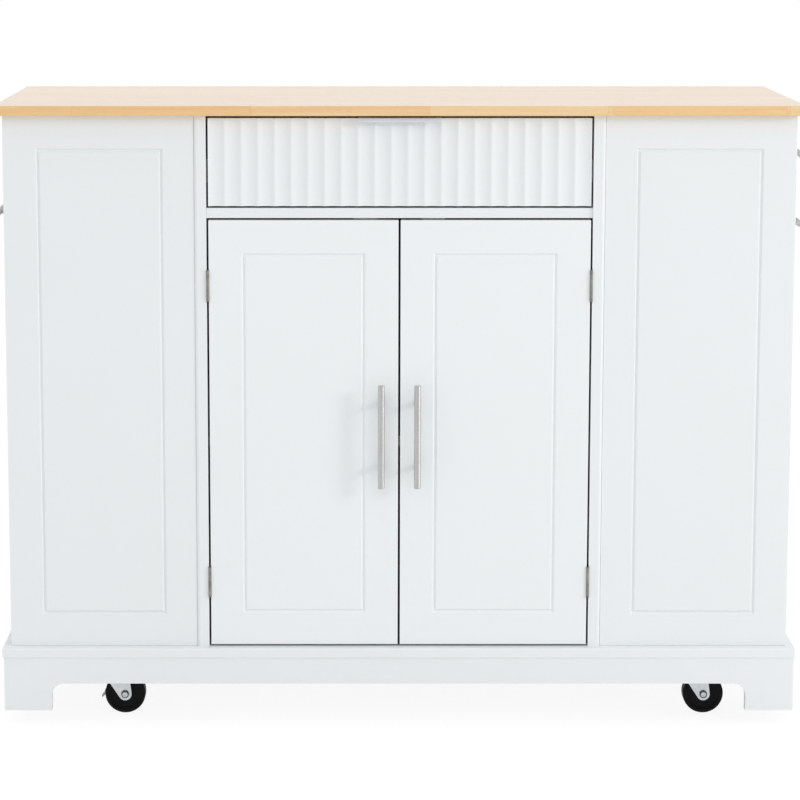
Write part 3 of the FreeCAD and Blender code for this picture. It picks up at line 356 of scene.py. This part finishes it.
# ---- shelves, drawer boxes and bin cradle ----------------------------------------------------
# Plain white faced board, flatter and a little warmer than the paint, with a fine pressed
# texture. Its cut edges have glued-on strips.
def faced_board(name, seed):
    material, tree, inputs, point = new_finish(name, colour(233, 233, 230), 0.5)
    skin = use_group(tree, painted_skin, {"Point": point, "Seed": seed})
    pearl = noise(tree, point, (520, 520, 520), 2.0)
    body = tint(tree, skin["Drift"], colour(230, 230, 226), colour(235, 235, 233))
    tree.links.new(body, inputs["Base Color"])
    tree.links.new(ramp(tree, skin["Gloss"], 0.25, 0.75, 0.44, 0.56), inputs["Roughness"])
    set_relief(tree, inputs, pearl, 0.00004)
    return material


cover(faced_board("shelf_facing", 1.1), "shelves")
cover(faced_board("front_drawer_facing", 2.3), "front_drawer_box", "front_drawer_base")
cover(faced_board("side_drawer_facing", 3.9), "side_drawer_box")
cover(faced_board("cradle_facing", 5.2), "bin_cradle")


# ---- caster blocks and flap stops ------------------------------------------------------------
# Offcuts of plain softwood, sawn and sanded, screwed up under the bottom board and inside the
# right bay.
def plain_wood(name, seed):
    material, tree, inputs, point = new_finish(name, colour(216, 184, 138), 0.62)
    grain = use_group(tree, wood_grain, {"Point": point, "Seed": seed})
    body = tint(tree, grain["Ring"], colour(221, 190, 145), colour(201, 162, 112))
    body = tint(tree, calc(tree, "MULTIPLY", grain["Streak"], 0.4), body, colour(190, 150, 104))
    tree.links.new(body, inputs["Base Color"])
    tree.links.new(ramp(tree, grain["Fibre"], 0.2, 0.8, 0.55, 0.72), inputs["Roughness"])
    set_relief(tree, inputs, grain["Fibre"], 0.00012)
    return material


cover(plain_wood("caster_block_wood", 0.3), "caster_blocks")
cover(plain_wood("flap_stop_wood", 0.8), "flap_stops")


# ---- front drawer face -----------------------------------------------------------------------
# Fibreboard milled with 23 upright hollow flutes, side by side, and sprayed white. Each flute
# is an arc, and the ridges between them are sanded round.
def make_piece(name, grids, material, body, crease=35, fill=False, bevel=0.0):
    """One object from grids of points in millimetres, rows by columns. Faces join neighbouring
    rows and columns. Equal points are merged, which closes rings and poles, and fill closes
    the open ends of an extruded outline."""
    points = []
    faces = []
    count = 0
    for grid in grids:
        rows, columns = grid.shape[:2]
        index = np.arange(rows * columns).reshape(rows, columns) + count
        corners = (index[:-1, :-1], index[:-1, 1:], index[1:, 1:], index[1:, :-1])
        faces.append(np.stack(corners, -1).reshape(-1, 4))
        points.append(grid.reshape(-1, 3))
        count += rows * columns
    mesh = bpy.data.meshes.new(name)
    mesh.from_pydata(np.concatenate(points) * 0.001, [], np.concatenate(faces).tolist())
    clean_mesh(mesh, fill, crease)
    mesh.materials.append(material)
    made = bpy.data.objects.new(name, mesh)
    bpy.context.scene.collection.objects.link(made)
    if bevel:
        round_edges(made, bevel)
    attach(made, body)
    return made


def clean_mesh(mesh, fill, crease):
    """Merges equal points, closes holes if asked, turns faces outwards and smooths them."""
    shape = bmesh.new()
    shape.from_mesh(mesh)
    bmesh.ops.remove_doubles(shape, verts=shape.verts, dist=2e-6)
    bmesh.ops.dissolve_degenerate(shape, edges=shape.edges, dist=1e-6)
    if fill:
        rims = [edge for edge in shape.edges if edge.is_boundary]
        bmesh.ops.holes_fill(shape, edges=rims)
    bmesh.ops.recalc_face_normals(shape, faces=shape.faces)
    shape.to_mesh(mesh)
    shape.free()
    mesh.shade_smooth()
    mesh.set_sharp_from_angle(angle=math.radians(crease))


def round_edges(made, width):
    """A live bevel on the sharp edges, width in millimetres."""
    bevel = made.modifiers.new("eased_edges", "BEVEL")
    bevel.width = width * 0.001
    bevel.segments = 2
    bevel.limit_method = "ANGLE"
    bevel.angle_limit = math.radians(40)
    bevel.harden_normals = True
    bevel.use_clamp_overlap = True


def extrusion(outline, start, end):
    """A closed outline, points by 3, carried straight from start to end."""
    ring = np.concatenate([outline, outline[:1]])
    return np.stack([ring + start, ring + end])


def fluted_outline(left, right, front, back, flutes, depth, samples):
    """Plan of the face: across a flute, u from -1 to 1, the depth is that of a circle's arc,
    eased to a soft ridge where it comes up to the front."""
    u = np.linspace(-1, 1, samples + 1)[:-1]
    half = (right - left) / flutes / 2
    radius = (half ** 2 + depth ** 2) / (2 * depth)
    arc = np.sqrt(radius ** 2 - (u * half) ** 2) - (radius - depth)
    soft = 0.3
    arc = np.sqrt(arc ** 2 + soft ** 2) - soft
    centres = left + half * (2 * np.arange(flutes) + 1)
    x = np.append((centres[:, None] + u * half).ravel(), right)
    y = np.append(front + np.tile(arc, flutes), front)
    x = np.concatenate([x, [right, left]])
    y = np.concatenate([y, [back, back]])
    return np.stack([x, y, np.zeros_like(x)], -1)


flutes, flute_depth, flute_samples = 23, 2.8, 16
low, high = [np.array(corner) * 1000 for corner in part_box("front_drawer_face")]
outline = fluted_outline(low[0], high[0], low[1], high[1], flutes, flute_depth, flute_samples)
face = make_piece("fluted_drawer_front",
                  [extrusion(outline, (0, 0, low[2]), (0, 0, high[2]))],
                  white_paint("front_drawer_face", 9.1), "front_drawer",
                  fill=True, bevel=0.4)
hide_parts("front_drawer_face")


# ---- drawer pull -----------------------------------------------------------------------------
# A short length of aluminium angle let in over the drawer front's top edge. Its lip turns down
# in front, for the fingers. Satin anodised, drawn lines along its length.
brushed_lines, takes, gives = new_group(
    "brushed_lines", {"Point": "Vector", "Stretch": "Vector"},
    {"Line": "Float", "Cloud": "Float"})
scaled = add(brushed_lines, "VectorMath", {0: takes["Point"], 1: takes["Stretch"]},
             operation="MULTIPLY").outputs[0]
lines = add(brushed_lines, "TexNoise", {"Vector": scaled, "Scale": 1.0, "Detail": 3.0,
                                        "Roughness": 0.65})
brushed_lines.links.new(lines.outputs[0], gives["Line"])
brushed_lines.links.new(noise(brushed_lines, takes["Point"], (60, 60, 60), 3.0), gives["Cloud"])


def brushed_metal(name, dark, light, roughness, stretch, relief):
    """Metal with fine lines. stretch gives the waves a metre along each axis, few along the
    lines and many across them."""
    material, tree, inputs, point = new_finish(name, light, roughness, 1.0)
    brushed = use_group(tree, brushed_lines, {"Point": point, "Stretch": stretch})
    body = tint(tree, ramp(tree, brushed["Line"], 0.3, 0.7), dark, light)
    tree.links.new(body, inputs["Base Color"])
    gloss = calc(tree, "MULTIPLY_ADD", brushed["Line"], 0.5,
                 calc(tree, "MULTIPLY", brushed["Cloud"], 0.5))
    tree.links.new(ramp(tree, gloss, 0.3, 0.7, roughness - 0.06, roughness + 0.08),
                   inputs["Roughness"])
    set_relief(tree, inputs, brushed["Line"], relief)
    return material


def pull_outline(back, lip, top, drop, sheet):
    """Section of the pull, back to front: a flat leaf, a rounded nose and the lip."""
    radius, ease = 1.2, 0.4
    bend = np.radians(np.linspace(0, 90, 7))
    nose = np.stack([lip + radius - radius * np.sin(bend),
                     top - radius + radius * np.cos(bend)], -1)
    rest = [(lip, top - drop + ease), (lip + ease, top - drop), (lip + sheet, top - drop),
            (lip + sheet, top - sheet), (back, top - sheet), (back, top)]
    flat = np.concatenate([nose, rest])
    return np.concatenate([np.zeros((len(flat), 1)), flat], 1)


pull_sheet = 1.5
low, high = [np.array(corner) * 1000 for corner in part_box("front_drawer_pull")]
section = pull_outline(high[1], low[1], high[2], high[2] - low[2], pull_sheet)
pull = make_piece("edge_pull", [extrusion(section, (low[0], 0, 0), (high[0], 0, 0))],
                  brushed_metal("satin_aluminium", colour(228, 230, 232), colour(243, 244, 245),
                                0.34, (25, 2400, 2400), 0.000003),
                  "front_drawer", fill=True, bevel=0.15)
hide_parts("front_drawer_pull")


# ---- bar handles -----------------------------------------------------------------------------
# Solid bar, 10 mm across and 156 mm long, on two turned posts 96 mm apart. Steel plated in
# nickel, and brushed round the bar as it turns. Two screws through the board hold each.
def lathe(profile, origin, axis, turns=40):
    """Turned surface. A profile point (radius, distance) is carried round an axis that is one
    of the frame's own: origin + distance * axis + radius * (cos a, sin a) across it."""
    axis = np.array(axis, float)
    across = np.roll(axis, 1)
    beside = np.cross(axis, across)
    angle = np.linspace(0, 2 * math.pi, turns + 1)
    ring = np.cos(angle)[:, None] * across + np.sin(angle)[:, None] * beside
    radius, distance = np.array(profile, float).T
    return (np.array(origin, float) + distance[:, None, None] * axis
            + radius[:, None, None] * ring)


post_reach = 48


def bar_handle(name, node, foot, along, outward, body, material):
    """A bar along one axis and its two posts. foot is the point on the board behind its middle,
    and outward points away from the board."""
    foot, along, outward = np.array(foot), np.array(along), np.array(outward)
    half, radius, chamfer, standoff = 78, 5.0, 0.7, 26
    bar = [(0, -half), (radius - chamfer, -half), (radius, chamfer - half),
           (radius, 0), (radius, half - chamfer), (radius - chamfer, half), (0, half)]
    post = [(0, 0), (3.7, 0), (4, 0.3), (4, standoff - 5.5), (3.6, standoff - 4.6),
            (3.6, standoff - 2), (0, standoff - 2)]
    grids = [lathe(bar, foot + standoff * outward, along)]
    for side in (-post_reach, post_reach):
        grids.append(lathe(post, foot + side * along, outward, 24))
    handle = make_piece(name, grids, material, body)
    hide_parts(node)


def brushed_nickel(name, along, stretch):
    """Nickel whose fine rings spread a reflection along the bar, so lamps show as stripes."""
    material = brushed_metal(name, colour(194, 194, 192), colour(206, 206, 204), 0.32, stretch,
                             0.000003)
    tree = material.node_tree
    inputs = tree.nodes["Principled BSDF"].inputs
    inputs["Anisotropic"].default_value = 0.9
    inputs["Anisotropic Rotation"].default_value = 0.25
    round_bar = add(tree, "Tangent", direction_type="RADIAL", axis=along)
    tree.links.new(round_bar.outputs[0], inputs["Tangent"])
    return material


upright = brushed_nickel("brushed_nickel_upright", "Z", (50, 50, 2600))
level = brushed_nickel("brushed_nickel_level", "Y", (50, 2600, 50))
door_front, door_bar_x, door_bar_z = -215, 27, 447
end_face, end_bar_y, rail_z, drawer_bar_z, flap_bar_z = 588, -3.5, 765, 856, 750
bar_handle("left_door_bar", "door_handle_left", (-door_bar_x, door_front, door_bar_z),
           (0, 0, 1), (0, -1, 0), "door_left", upright)
bar_handle("right_door_bar", "door_handle_right", (door_bar_x, door_front, door_bar_z),
           (0, 0, 1), (0, -1, 0), "door_right", upright)
bar_handle("towel_rail_bar", "end_door_rail", (-end_face, end_bar_y, rail_z),
           (0, 1, 0), (-1, 0, 0), "end_door", level)
bar_handle("side_drawer_bar", "side_drawer_handle", (end_face, end_bar_y, drawer_bar_z),
           (0, 1, 0), (1, 0, 0), "side_drawer", level)
bar_handle("bin_flap_bar", "bin_flap_handle", (end_face, end_bar_y, flap_bar_z),
           (0, 1, 0), (1, 0, 0), "bin_flap", level)


# ---- pressed steel: hinges, stays, runners and caster forks ----------------------------------
# Blanked and folded from sheet, then plated. The edges are tumbled, so they are a little
# round, and the plating is cloudy.
def plated_steel(name, dark, light, roughness):
    material, tree, inputs, point = new_finish(name, light, roughness, 1.0)
    cloud = noise(tree, point, (90, 90, 90), 4.0, 0.6)
    spangle = noise(tree, point, (900, 900, 900), 2.0)
    body = tint(tree, ramp(tree, cloud, 0.3, 0.7), dark, light)
    tree.links.new(body, inputs["Base Color"])
    gloss = calc(tree, "MULTIPLY_ADD", spangle, 0.5, calc(tree, "MULTIPLY", cloud, 0.5))
    tree.links.new(ramp(tree, gloss, 0.3, 0.7, roughness - 0.05, roughness + 0.08),
                   inputs["Roughness"])
    set_relief(tree, inputs, spangle, 0.000008)
    return material


def finished_copy(node, name, material, bevel=0.25):
    """The node's own shape, merged, with its round faces smooth and its sharp edges eased."""
    source = frame["nodes"][node]
    mesh = source.data.copy()
    mesh.name = name
    shape = bmesh.new()
    shape.from_mesh(mesh)
    bmesh.ops.remove_doubles(shape, verts=shape.verts, dist=2e-6)
    bmesh.ops.dissolve_limit(shape, angle_limit=math.radians(0.5), verts=shape.verts,
                             edges=shape.edges)
    shape.to_mesh(mesh)
    shape.free()
    mesh.shade_smooth()
    mesh.set_sharp_from_angle(angle=math.radians(35))
    mesh.materials.clear()
    mesh.materials.append(material)
    made = bpy.data.objects.new(name, mesh)
    bpy.context.scene.collection.objects.link(made)
    if bevel:
        round_edges(made, bevel)
    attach(made, body_of_node[node])
    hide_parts(node)


body_of_node = {}
for body, empty in frame["bodies"].items():
    for node, piece in frame["nodes"].items():
        if piece.parent == empty:
            body_of_node[node] = body

hinge_steel = plated_steel("hinge_plating", colour(126, 126, 120), colour(158, 157, 150), 0.34)
zinc = plated_steel("zinc_plating", colour(196, 200, 203), colour(214, 218, 221), 0.32)
for node, name in (("hinge_frame_leaves", "hinge_leaves_on_frame"),
                   ("hinge_pins", "turned_hinge_pins"),
                   ("door_fittings_left", "left_door_hinge_leaves"),
                   ("door_fittings_right", "right_door_hinge_leaves"),
                   ("end_door_fittings", "end_door_hinge_leaves"),
                   ("bin_flap_fittings", "bin_flap_hinge_leaves"),
                   ("leaf_hinge_top_plates", "leaf_hinge_plates_on_top"),
                   ("leaf_hinge_flap_plates", "leaf_hinge_plates_on_leaf"),
                   ("shelf_pins", "turned_shelf_pins")):
    finished_copy(node, name, hinge_steel, 0.12)
for node, name in (("stay_brackets", "folded_stay_brackets"),
                   ("stay_arm_left", "left_stay_bar"),
                   ("stay_arm_right", "right_stay_bar"),
                   ("stay_rails", "folded_stay_rails"),
                   ("runner_channels", "folded_runner_channels"),
                   ("front_drawer_slides", "front_drawer_slide_bars"),
                   ("side_drawer_slides", "side_drawer_slide_bars"),
                   ("caster_plates", "pressed_caster_plates")):
    finished_copy(node, name, zinc)
for corner in ("front_left", "rear_left"):
    finished_copy("brake_lever_" + corner, corner + "_brake_pedal", hinge_steel)


# ---- casters ---------------------------------------------------------------------------------
# A hard black wheel, 62 mm across, turns on a bolt through a zinc-plated fork. The fork
# swivels under a square plate on a race of balls.
def black_rubber():
    material, tree, inputs, point = new_finish("black_wheel_rubber", colour(14, 14, 15), 0.5,
                                               more=(("Specular IOR Level", 0.12),))
    scuff = noise(tree, point, (240, 240, 240), 4.0, 0.65)
    dust = noise(tree, point, (45, 45, 45), 3.0)
    body = tint(tree, ramp(tree, scuff, 0.55, 0.8), colour(11, 11, 12), colour(26, 26, 27))
    body = tint(tree, ramp(tree, dust, 0.55, 0.85, 0.0, 0.2), body, colour(48, 47, 46))
    tree.links.new(body, inputs["Base Color"])
    tree.links.new(ramp(tree, scuff, 0.3, 0.8, 0.42, 0.62), inputs["Roughness"])
    set_relief(tree, inputs, scuff, 0.00004)
    return material


def wheel_profile(radius, half, bore):
    """Half section of the wheel: hub, shallow dished web and rounded tread."""
    bend = np.radians(np.linspace(0, 90, 8))
    shoulder = np.stack([radius - 3 + 3 * np.sin(bend), half - 3 + 3 * np.cos(bend)], -1)
    side = np.array([(bore, half), (10.5, half), (11.2, half - 0.3), (12.5, half - 1.4),
                     (13.5, half - 1.6), (21.5, half - 1.6), (22.5, half - 1.4),
                     (24.5, half - 0.3), (25.5, half)])
    upper = np.concatenate([side, shoulder])
    lower = upper[::-1] * (1, -1)
    return np.concatenate([upper, lower, upper[:1]])


rubber = black_rubber()
wheel_radius, wheel_half, bore_radius = 31, 12, 3.05
caster_axles = (("front_left", -420, -150), ("front_right", 470, -150),
                ("rear_left", -470, 140), ("rear_right", 420, 140))
wheel_outline = wheel_profile(wheel_radius, wheel_half, bore_radius)
for corner, x, y in caster_axles:
    wheel = make_piece(corner + "_wheel",
                       [lathe(wheel_outline, (x, y, wheel_radius), (0, 1, 0), 72)],
                       rubber, "wheel_" + corner)
    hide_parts("caster_wheel_" + corner)
    finished_copy("caster_fork_" + corner, corner + "_fork", zinc, 0.35)


def screw_head(place, axis, radius, height, recess=0.6):
    """A head of eight rings of 16 points. The height falls as a dome, and the inner rings
    sink, the third only at every fourth point, which leaves the arms of a cross."""
    reach = np.array([0, 0.2, 0.55, 0.66, 0.88, 1.0, 1.0, 0.0])
    lift = np.array([1.0, 1.0, 1.0, 0.94, 0.72, 0.4, 0.0, 0.0]) * height
    axis = np.array(axis, float)
    across = np.roll(axis, 1)
    beside = np.cross(axis, across)
    angle = np.linspace(0, 2 * math.pi, 17)
    sunk = np.zeros((8, 17))
    sunk[:2] = recess
    sunk[2, ::4] = recess
    ring = np.cos(angle)[:, None] * across + np.sin(angle)[:, None] * beside
    level = np.maximum(lift[:, None] - sunk * min(height, 1.0), 0.02)
    level[6:] = 0
    return (np.array(place, float) + radius * reach[:, None, None] * ring
            + level[:, :, None] * axis)


# A dark grey rim stands round each bolt's bright, cross-recessed face. The bolt's head
# reaches from the fork's cheek to head_end, both measured from the wheel's middle.
cheek, head_end = 15.5, 18.5
dark_grey_steel = plated_steel("dark_grey_rim_steel", colour(58, 59, 60), colour(92, 93, 94), 0.3)
rim_outline = [(4.2, 3.1), (4.4, 3.5), (5.2, 3.5), (5.75, 2.9), (5.75, 0.02), (4.2, 0.02),
               (4.2, 3.1)]
for corner, x, y in caster_axles:
    rims, faces = [], []
    for facing in (-1, 1):
        rims.append(lathe(rim_outline, (x, y + facing * cheek, wheel_radius),
                          (0, facing, 0), 32))
        faces.append(screw_head((x, y + facing * head_end, wheel_radius), (0, facing, 0),
                                4.15, 0.6, 0.9))
    make_piece(corner + "_bolt_rims", rims, dark_grey_steel, "swivel_" + corner)
    make_piece(corner + "_bolt_faces", faces, zinc, "swivel_" + corner)


# ---- magnetic catches ------------------------------------------------------------------------
# White moulded bodies, each with a magnet between two steel poles that face the door. Those of
# the front doors and the bin flap hang under rails, and the end door's stands on the back of
# the left front panel.
def rounded_block(low, high, corner=1.5, ease=0.6):
    """A block with round upright corners and eased top and bottom: rounded rectangles whose
    inset falls along a quarter circle, stacked in z and closed at a pole."""
    low, high = np.array(low, float), np.array(high, float)
    bend = np.radians(np.linspace(0, 90, 4))
    pole = corner + 9
    inset = np.concatenate([[pole], ease * (1 - np.sin(bend))])
    rise = np.concatenate([[0], ease * (1 - np.cos(bend))])
    inset = np.concatenate([inset, inset[::-1]])
    height = np.concatenate([low[2] + rise, high[2] - rise[::-1]])
    turn = np.radians(np.linspace(0, 90, 5))
    middle, half = (low + high)[:2] / 2, (high - low)[:2] / 2
    angle = np.concatenate([turn + start for start in np.radians([0, 90, 180, 270])])
    angle = np.append(angle, 2 * math.pi)
    quarter = np.repeat([0, 1, 2, 3], 5)
    sign = np.array([(1, 1), (-1, 1), (-1, -1), (1, -1)])[np.append(quarter, 0)]
    arc = np.stack([np.cos(angle), np.sin(angle)], -1)
    reach = np.maximum(half - corner, 0)
    rings = []
    for step in inset:
        if step == pole:
            rings.append(np.tile(middle, (len(angle), 1)))
        else:
            rings.append(middle + sign * reach + arc * (corner - step))
    flat = np.stack(rings)
    levels = np.broadcast_to(height[:, None, None], flat.shape[:2] + (1,))
    return np.concatenate([flat, levels], -1)


def smooth_plastic(name, pale):
    material, tree, inputs, point = new_finish(name, pale, 0.4)
    flow = noise(tree, point, (130, 130, 130), 2.0)
    tree.links.new(tint(tree, flow, colour(222, 222, 219), pale), inputs["Base Color"])
    tree.links.new(ramp(tree, flow, 0.3, 0.7, 0.34, 0.46), inputs["Roughness"])
    set_relief(tree, inputs, noise(tree, point, (1300, 1300, 1300), 1.0), 0.00002)
    return material


white_plastic = smooth_plastic("moulded_white_plastic", colour(236, 236, 234))
bodies = [rounded_block((32, -198.5, 759.5), (68, -183.5, 772.5)),
          rounded_block((-68, -198.5, 759.5), (-32, -183.5, 772.5)),
          rounded_block((-571.5, -197, 565), (-556.5, -184, 601)),
          rounded_block((556.5, -21.5, 759.5), (571.5, 14.5, 772.5))]
catches = make_piece("catch_bodies", bodies, white_plastic, "root")
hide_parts("magnetic_catches")
pole_corner, pole_ease = 0.3, 0.2
poles = [rounded_block(near, far, pole_corner, pole_ease) for near, far in (
    ((37, -199, 762), (63, -198, 764)), ((37, -199, 767), (63, -198, 769)),
    ((-63, -199, 762), (-37, -198, 764)), ((-63, -199, 767), (-37, -198, 769)),
    ((-572, -194, 570), (-571, -192, 596)), ((-572, -189, 570), (-571, -187, 596)),
    ((571, -16.5, 762), (572, 9.5, 764)), ((571, -16.5, 767), (572, 9.5, 769)))]
make_piece("catch_poles", poles, zinc, "root")


# ---- screws ----------------------------------------------------------------------------------
# Zinc-plated steel with a cross recess: flat ones in the hinge leaves, round heads behind the
# handles and under the caster plates.
def screws(name, body, heads):
    make_piece(name, heads, zinc, body, 50)


def hinge_screws(pins, to_frame, inward, along):
    """Heads in the two leaves of butt hinges: those on the frame and those on the door. They
    stand on the leaves' faces, half the gap from the pin's middle."""
    spacing, depth, half_gap = 15.5, 10, 0.5
    to_frame, inward, along = (np.array(v, float) for v in (to_frame, inward, along))
    on_frame, on_door = [], []
    for pin in pins:
        for step in (-spacing, 0, spacing):
            place = np.array(pin, float) + inward * depth + along * step
            on_frame.append(screw_head(place + to_frame * half_gap, -to_frame, 2.4, 0.3, 0.2))
            on_door.append(screw_head(place - to_frame * half_gap, to_frame, 2.4, 0.3, 0.2))
    return on_frame, on_door


# Middles of the pins: two on each front door, three on the end door, two on the bin flap.
door_pin_x, door_pin_y, door_pins_z = 285.5, -216, (220, 671.5)
end_pin_x, end_pin_y, end_pins_z = -589, 188.5, (220, 520, 820)
flap_pin_x, flap_pins_y, flap_pin_z = 589, (-125, 118), 121.5
right_frame, right_door = hinge_screws([(door_pin_x, door_pin_y, z) for z in door_pins_z],
                                       (1, 0, 0), (0, 1, 0), (0, 0, 1))
left_frame, left_door = hinge_screws([(-door_pin_x, door_pin_y, z) for z in door_pins_z],
                                     (-1, 0, 0), (0, 1, 0), (0, 0, 1))
end_frame, end_side = hinge_screws([(end_pin_x, end_pin_y, z) for z in end_pins_z],
                                   (0, 1, 0), (1, 0, 0), (0, 0, 1))
flap_frame, flap_side = hinge_screws([(flap_pin_x, y, flap_pin_z) for y in flap_pins_y],
                                     (0, 0, -1), (-1, 0, 0), (0, 1, 0))
screws("hinge_screws_in_frame", "root", right_frame + left_frame + end_frame + flap_frame)

# Behind each handle, on the board's inner face, a head stands opposite each post.
board = 15
for body, heads, foot, along, facing in (
        ("door_left", left_door, (-door_bar_x, door_front, door_bar_z), (0, 0, 1), (0, 1, 0)),
        ("door_right", right_door, (door_bar_x, door_front, door_bar_z), (0, 0, 1), (0, 1, 0)),
        ("end_door", end_side, (-end_face, end_bar_y, rail_z), (0, 1, 0), (1, 0, 0)),
        ("bin_flap", flap_side, (end_face, end_bar_y, flap_bar_z), (0, 1, 0), (-1, 0, 0)),
        ("side_drawer", [], (end_face, end_bar_y, drawer_bar_z), (0, 1, 0), (-1, 0, 0))):
    inner = np.array(foot) + board * np.array(facing)
    heads = heads + [screw_head(inner + side * np.array(along), facing, 3.8, 2.0)
                     for side in (-post_reach, post_reach)]
    screws(body + "_screws", body, heads)

# The leaf hinges have three screws up into the worktop and six into the leaf. Each stay has
# three small ones in its strip on the leaf and three in its bracket on the back panel.
hinges_x = [x + step for x in (-450, 0, 450) for step in (-26, 0, 26)]
top_plate_y, top_plate_z = 214.5, 923.5
leaf_plate_y, leaf_plate_z = 229.5, (893, 908)
stays_x, beside_stay = (-300, 300), 16
strip_y, strip_z = 229, (650, 760, 870)
bracket_y, bracket_z = 207, (792, 812, 845)
screws("leaf_hinge_screws_above", "root",
       [screw_head((x, top_plate_y, top_plate_z), (0, 0, -1), 2.8, 0.7, 0.4) for x in hinges_x])
screws("leaf_hinge_screws_on_leaf", "drop_leaf",
       [screw_head((x, leaf_plate_y, z), (0, -1, 0), 2.8, 0.7, 0.4) for x in hinges_x
        for z in leaf_plate_z]
       + [screw_head((x + beside_stay, strip_y, z), (0, -1, 0), 1.6, 0.1, 0.06)
          for x in stays_x for z in strip_z])
screws("stay_bracket_screws", "root",
       [screw_head((x - beside_stay, bracket_y, z), (0, 1, 0), 3.0, 1.2) for x in stays_x
        for z in bracket_z])

# Each caster plate has one screw near each corner, up into its block.
plates_x, plates_y, plate_z, plate_reach = (-445, 445), (-150, 140), 78.5, 23
screws("caster_plate_screws", "root",
       [screw_head((x + dx, y + dy, plate_z), (0, 0, -1), 3.8, 1.8) for x in plates_x
        for y in plates_y for dx in (-plate_reach, plate_reach)
        for dy in (-plate_reach, plate_reach)])


# ---- floor, light and camera -----------------------------------------------------------------
# A plain white studio floor that keeps a faint shadow and is clear from below, even white
# light, and a soft lamp from the right. The camera stands four metres in front of the island.
albedo, shadow_depth, floor_glow, room_level = 0.88, 0.13, 0.9, 0.92


def grey(level):
    return (level, level, level, 1)


def studio_floor():
    """Lights the island as a pale floor does. Seen directly or in metal it is white, and in
    metal it has a brighter lane on the lamp's side, which draws a stripe down the bars."""
    material = bpy.data.materials.new("studio_floor")
    material.use_nodes = True
    tree = material.node_tree
    tree.nodes.clear()
    path = add(tree, "LightPath").outputs
    seen = calc(tree, "MAXIMUM", path["Is Camera Ray"],
                calc(tree, "MAXIMUM", path["Is Glossy Ray"], path["Is Transmission Ray"]))
    lit = add(tree, "BsdfDiffuse", {"Color": grey(albedo)}).outputs[0]
    faint = add(tree, "BsdfDiffuse", {"Color": grey(shadow_depth)}).outputs[0]
    spot = add(tree, "SeparateXYZ", {0: add(tree, "TexCoord").outputs["Object"]}).outputs
    along = calc(tree, "MULTIPLY_ADD", spot[0], 0.94, calc(tree, "MULTIPLY", spot[1], -0.34))
    across = calc(tree, "MULTIPLY_ADD", spot[0], 0.34, calc(tree, "MULTIPLY", spot[1], 0.94))
    slope = calc(tree, "DIVIDE", calc(tree, "ABSOLUTE", across),
                 calc(tree, "MAXIMUM", along, 0.1))
    lane = calc(tree, "MULTIPLY", ramp(tree, slope, 0.12, 0.36, 1.0, 0.0),
                ramp(tree, along, 0.8, 1.2))
    lane = calc(tree, "MULTIPLY", lane, path["Is Glossy Ray"])
    level = calc(tree, "ADD", lane, floor_glow)
    glow = add(tree, "Emission", {"Color": grey(1), "Strength": level}).outputs[0]
    white = add(tree, "AddShader", {0: faint, 1: glow}).outputs[0]
    both = add(tree, "MixShader", {0: seen, 1: lit, 2: white}).outputs[0]
    under = add(tree, "NewGeometry").outputs["Backfacing"]
    clear = add(tree, "BsdfTransparent").outputs[0]
    both = add(tree, "MixShader", {0: under, 1: both, 2: clear}).outputs[0]
    add(tree, "OutputMaterial", {"Surface": both})
    return material


side = 30000.0
corners = np.array([(-side, -side, 0), (side, -side, 0), (-side, side, 0), (side, side, 0)])
ground = bpy.data.meshes.new("floor")
ground.from_pydata(corners * 0.001, [], [(0, 1, 3, 2)])
ground.materials.append(studio_floor())
floor = bpy.data.objects.new("floor", ground)
bpy.context.scene.collection.objects.link(floor)
floor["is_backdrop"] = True

world = bpy.data.worlds.new("studio")
world.use_nodes = True
tree = world.node_tree
tree.nodes.clear()
path = add(tree, "LightPath").outputs
seen = calc(tree, "MAXIMUM", path["Is Camera Ray"],
            calc(tree, "MAXIMUM", path["Is Glossy Ray"], path["Is Transmission Ray"]))
even = add(tree, "Background", {"Color": grey(1), "Strength": room_level}).outputs[0]

# Seen in metal, the white room is dimmer towards its front, -Y.
aim = add(tree, "SeparateXYZ", {0: add(tree, "NewGeometry").outputs["Position"]}).outputs
dim = ramp(tree, aim[1], -0.95, -0.2, -0.54, -0.08)
shown = calc(tree, "MULTIPLY_ADD", path["Is Glossy Ray"], dim, 1.0)
white = add(tree, "Background", {"Color": grey(1), "Strength": shown}).outputs[0]
both = add(tree, "MixShader", {0: seen, 1: even, 2: white}).outputs[0]
add(tree, "OutputWorld", {"Surface": both})
bpy.context.scene.world = world


middle = np.array([0, 0, 0.5])
direction, distance = np.array([0.84, -0.456, 0.292]), 6.5
key = bpy.data.lights.new("key_lamp", "AREA")
key.size = 1.15
key.energy = 88.0
lamp = bpy.data.objects.new("key_lamp", key)
lamp.location = direction / np.linalg.norm(direction) * distance + middle
lamp.rotation_mode = "QUATERNION"
lamp.rotation_quaternion = Vector(np.array(lamp.location) - middle).to_track_quat("Z", "Y")
bpy.context.scene.collection.objects.link(lamp)

lens = bpy.data.cameras.new("camera")
lens.lens = 128.6
lens.shift_x = 0.0594
lens.shift_y = -0.075
camera = bpy.data.objects.new("camera", lens)
camera.location = (-0.070, -4.432, 1.236)
camera.rotation_euler = (math.radians(90 - 8.71), 0, 0)
bpy.context.scene.collection.objects.link(camera)
bpy.context.scene.camera = camera
bpy.context.scene.view_settings.view_transform = "Standard"

low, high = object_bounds()
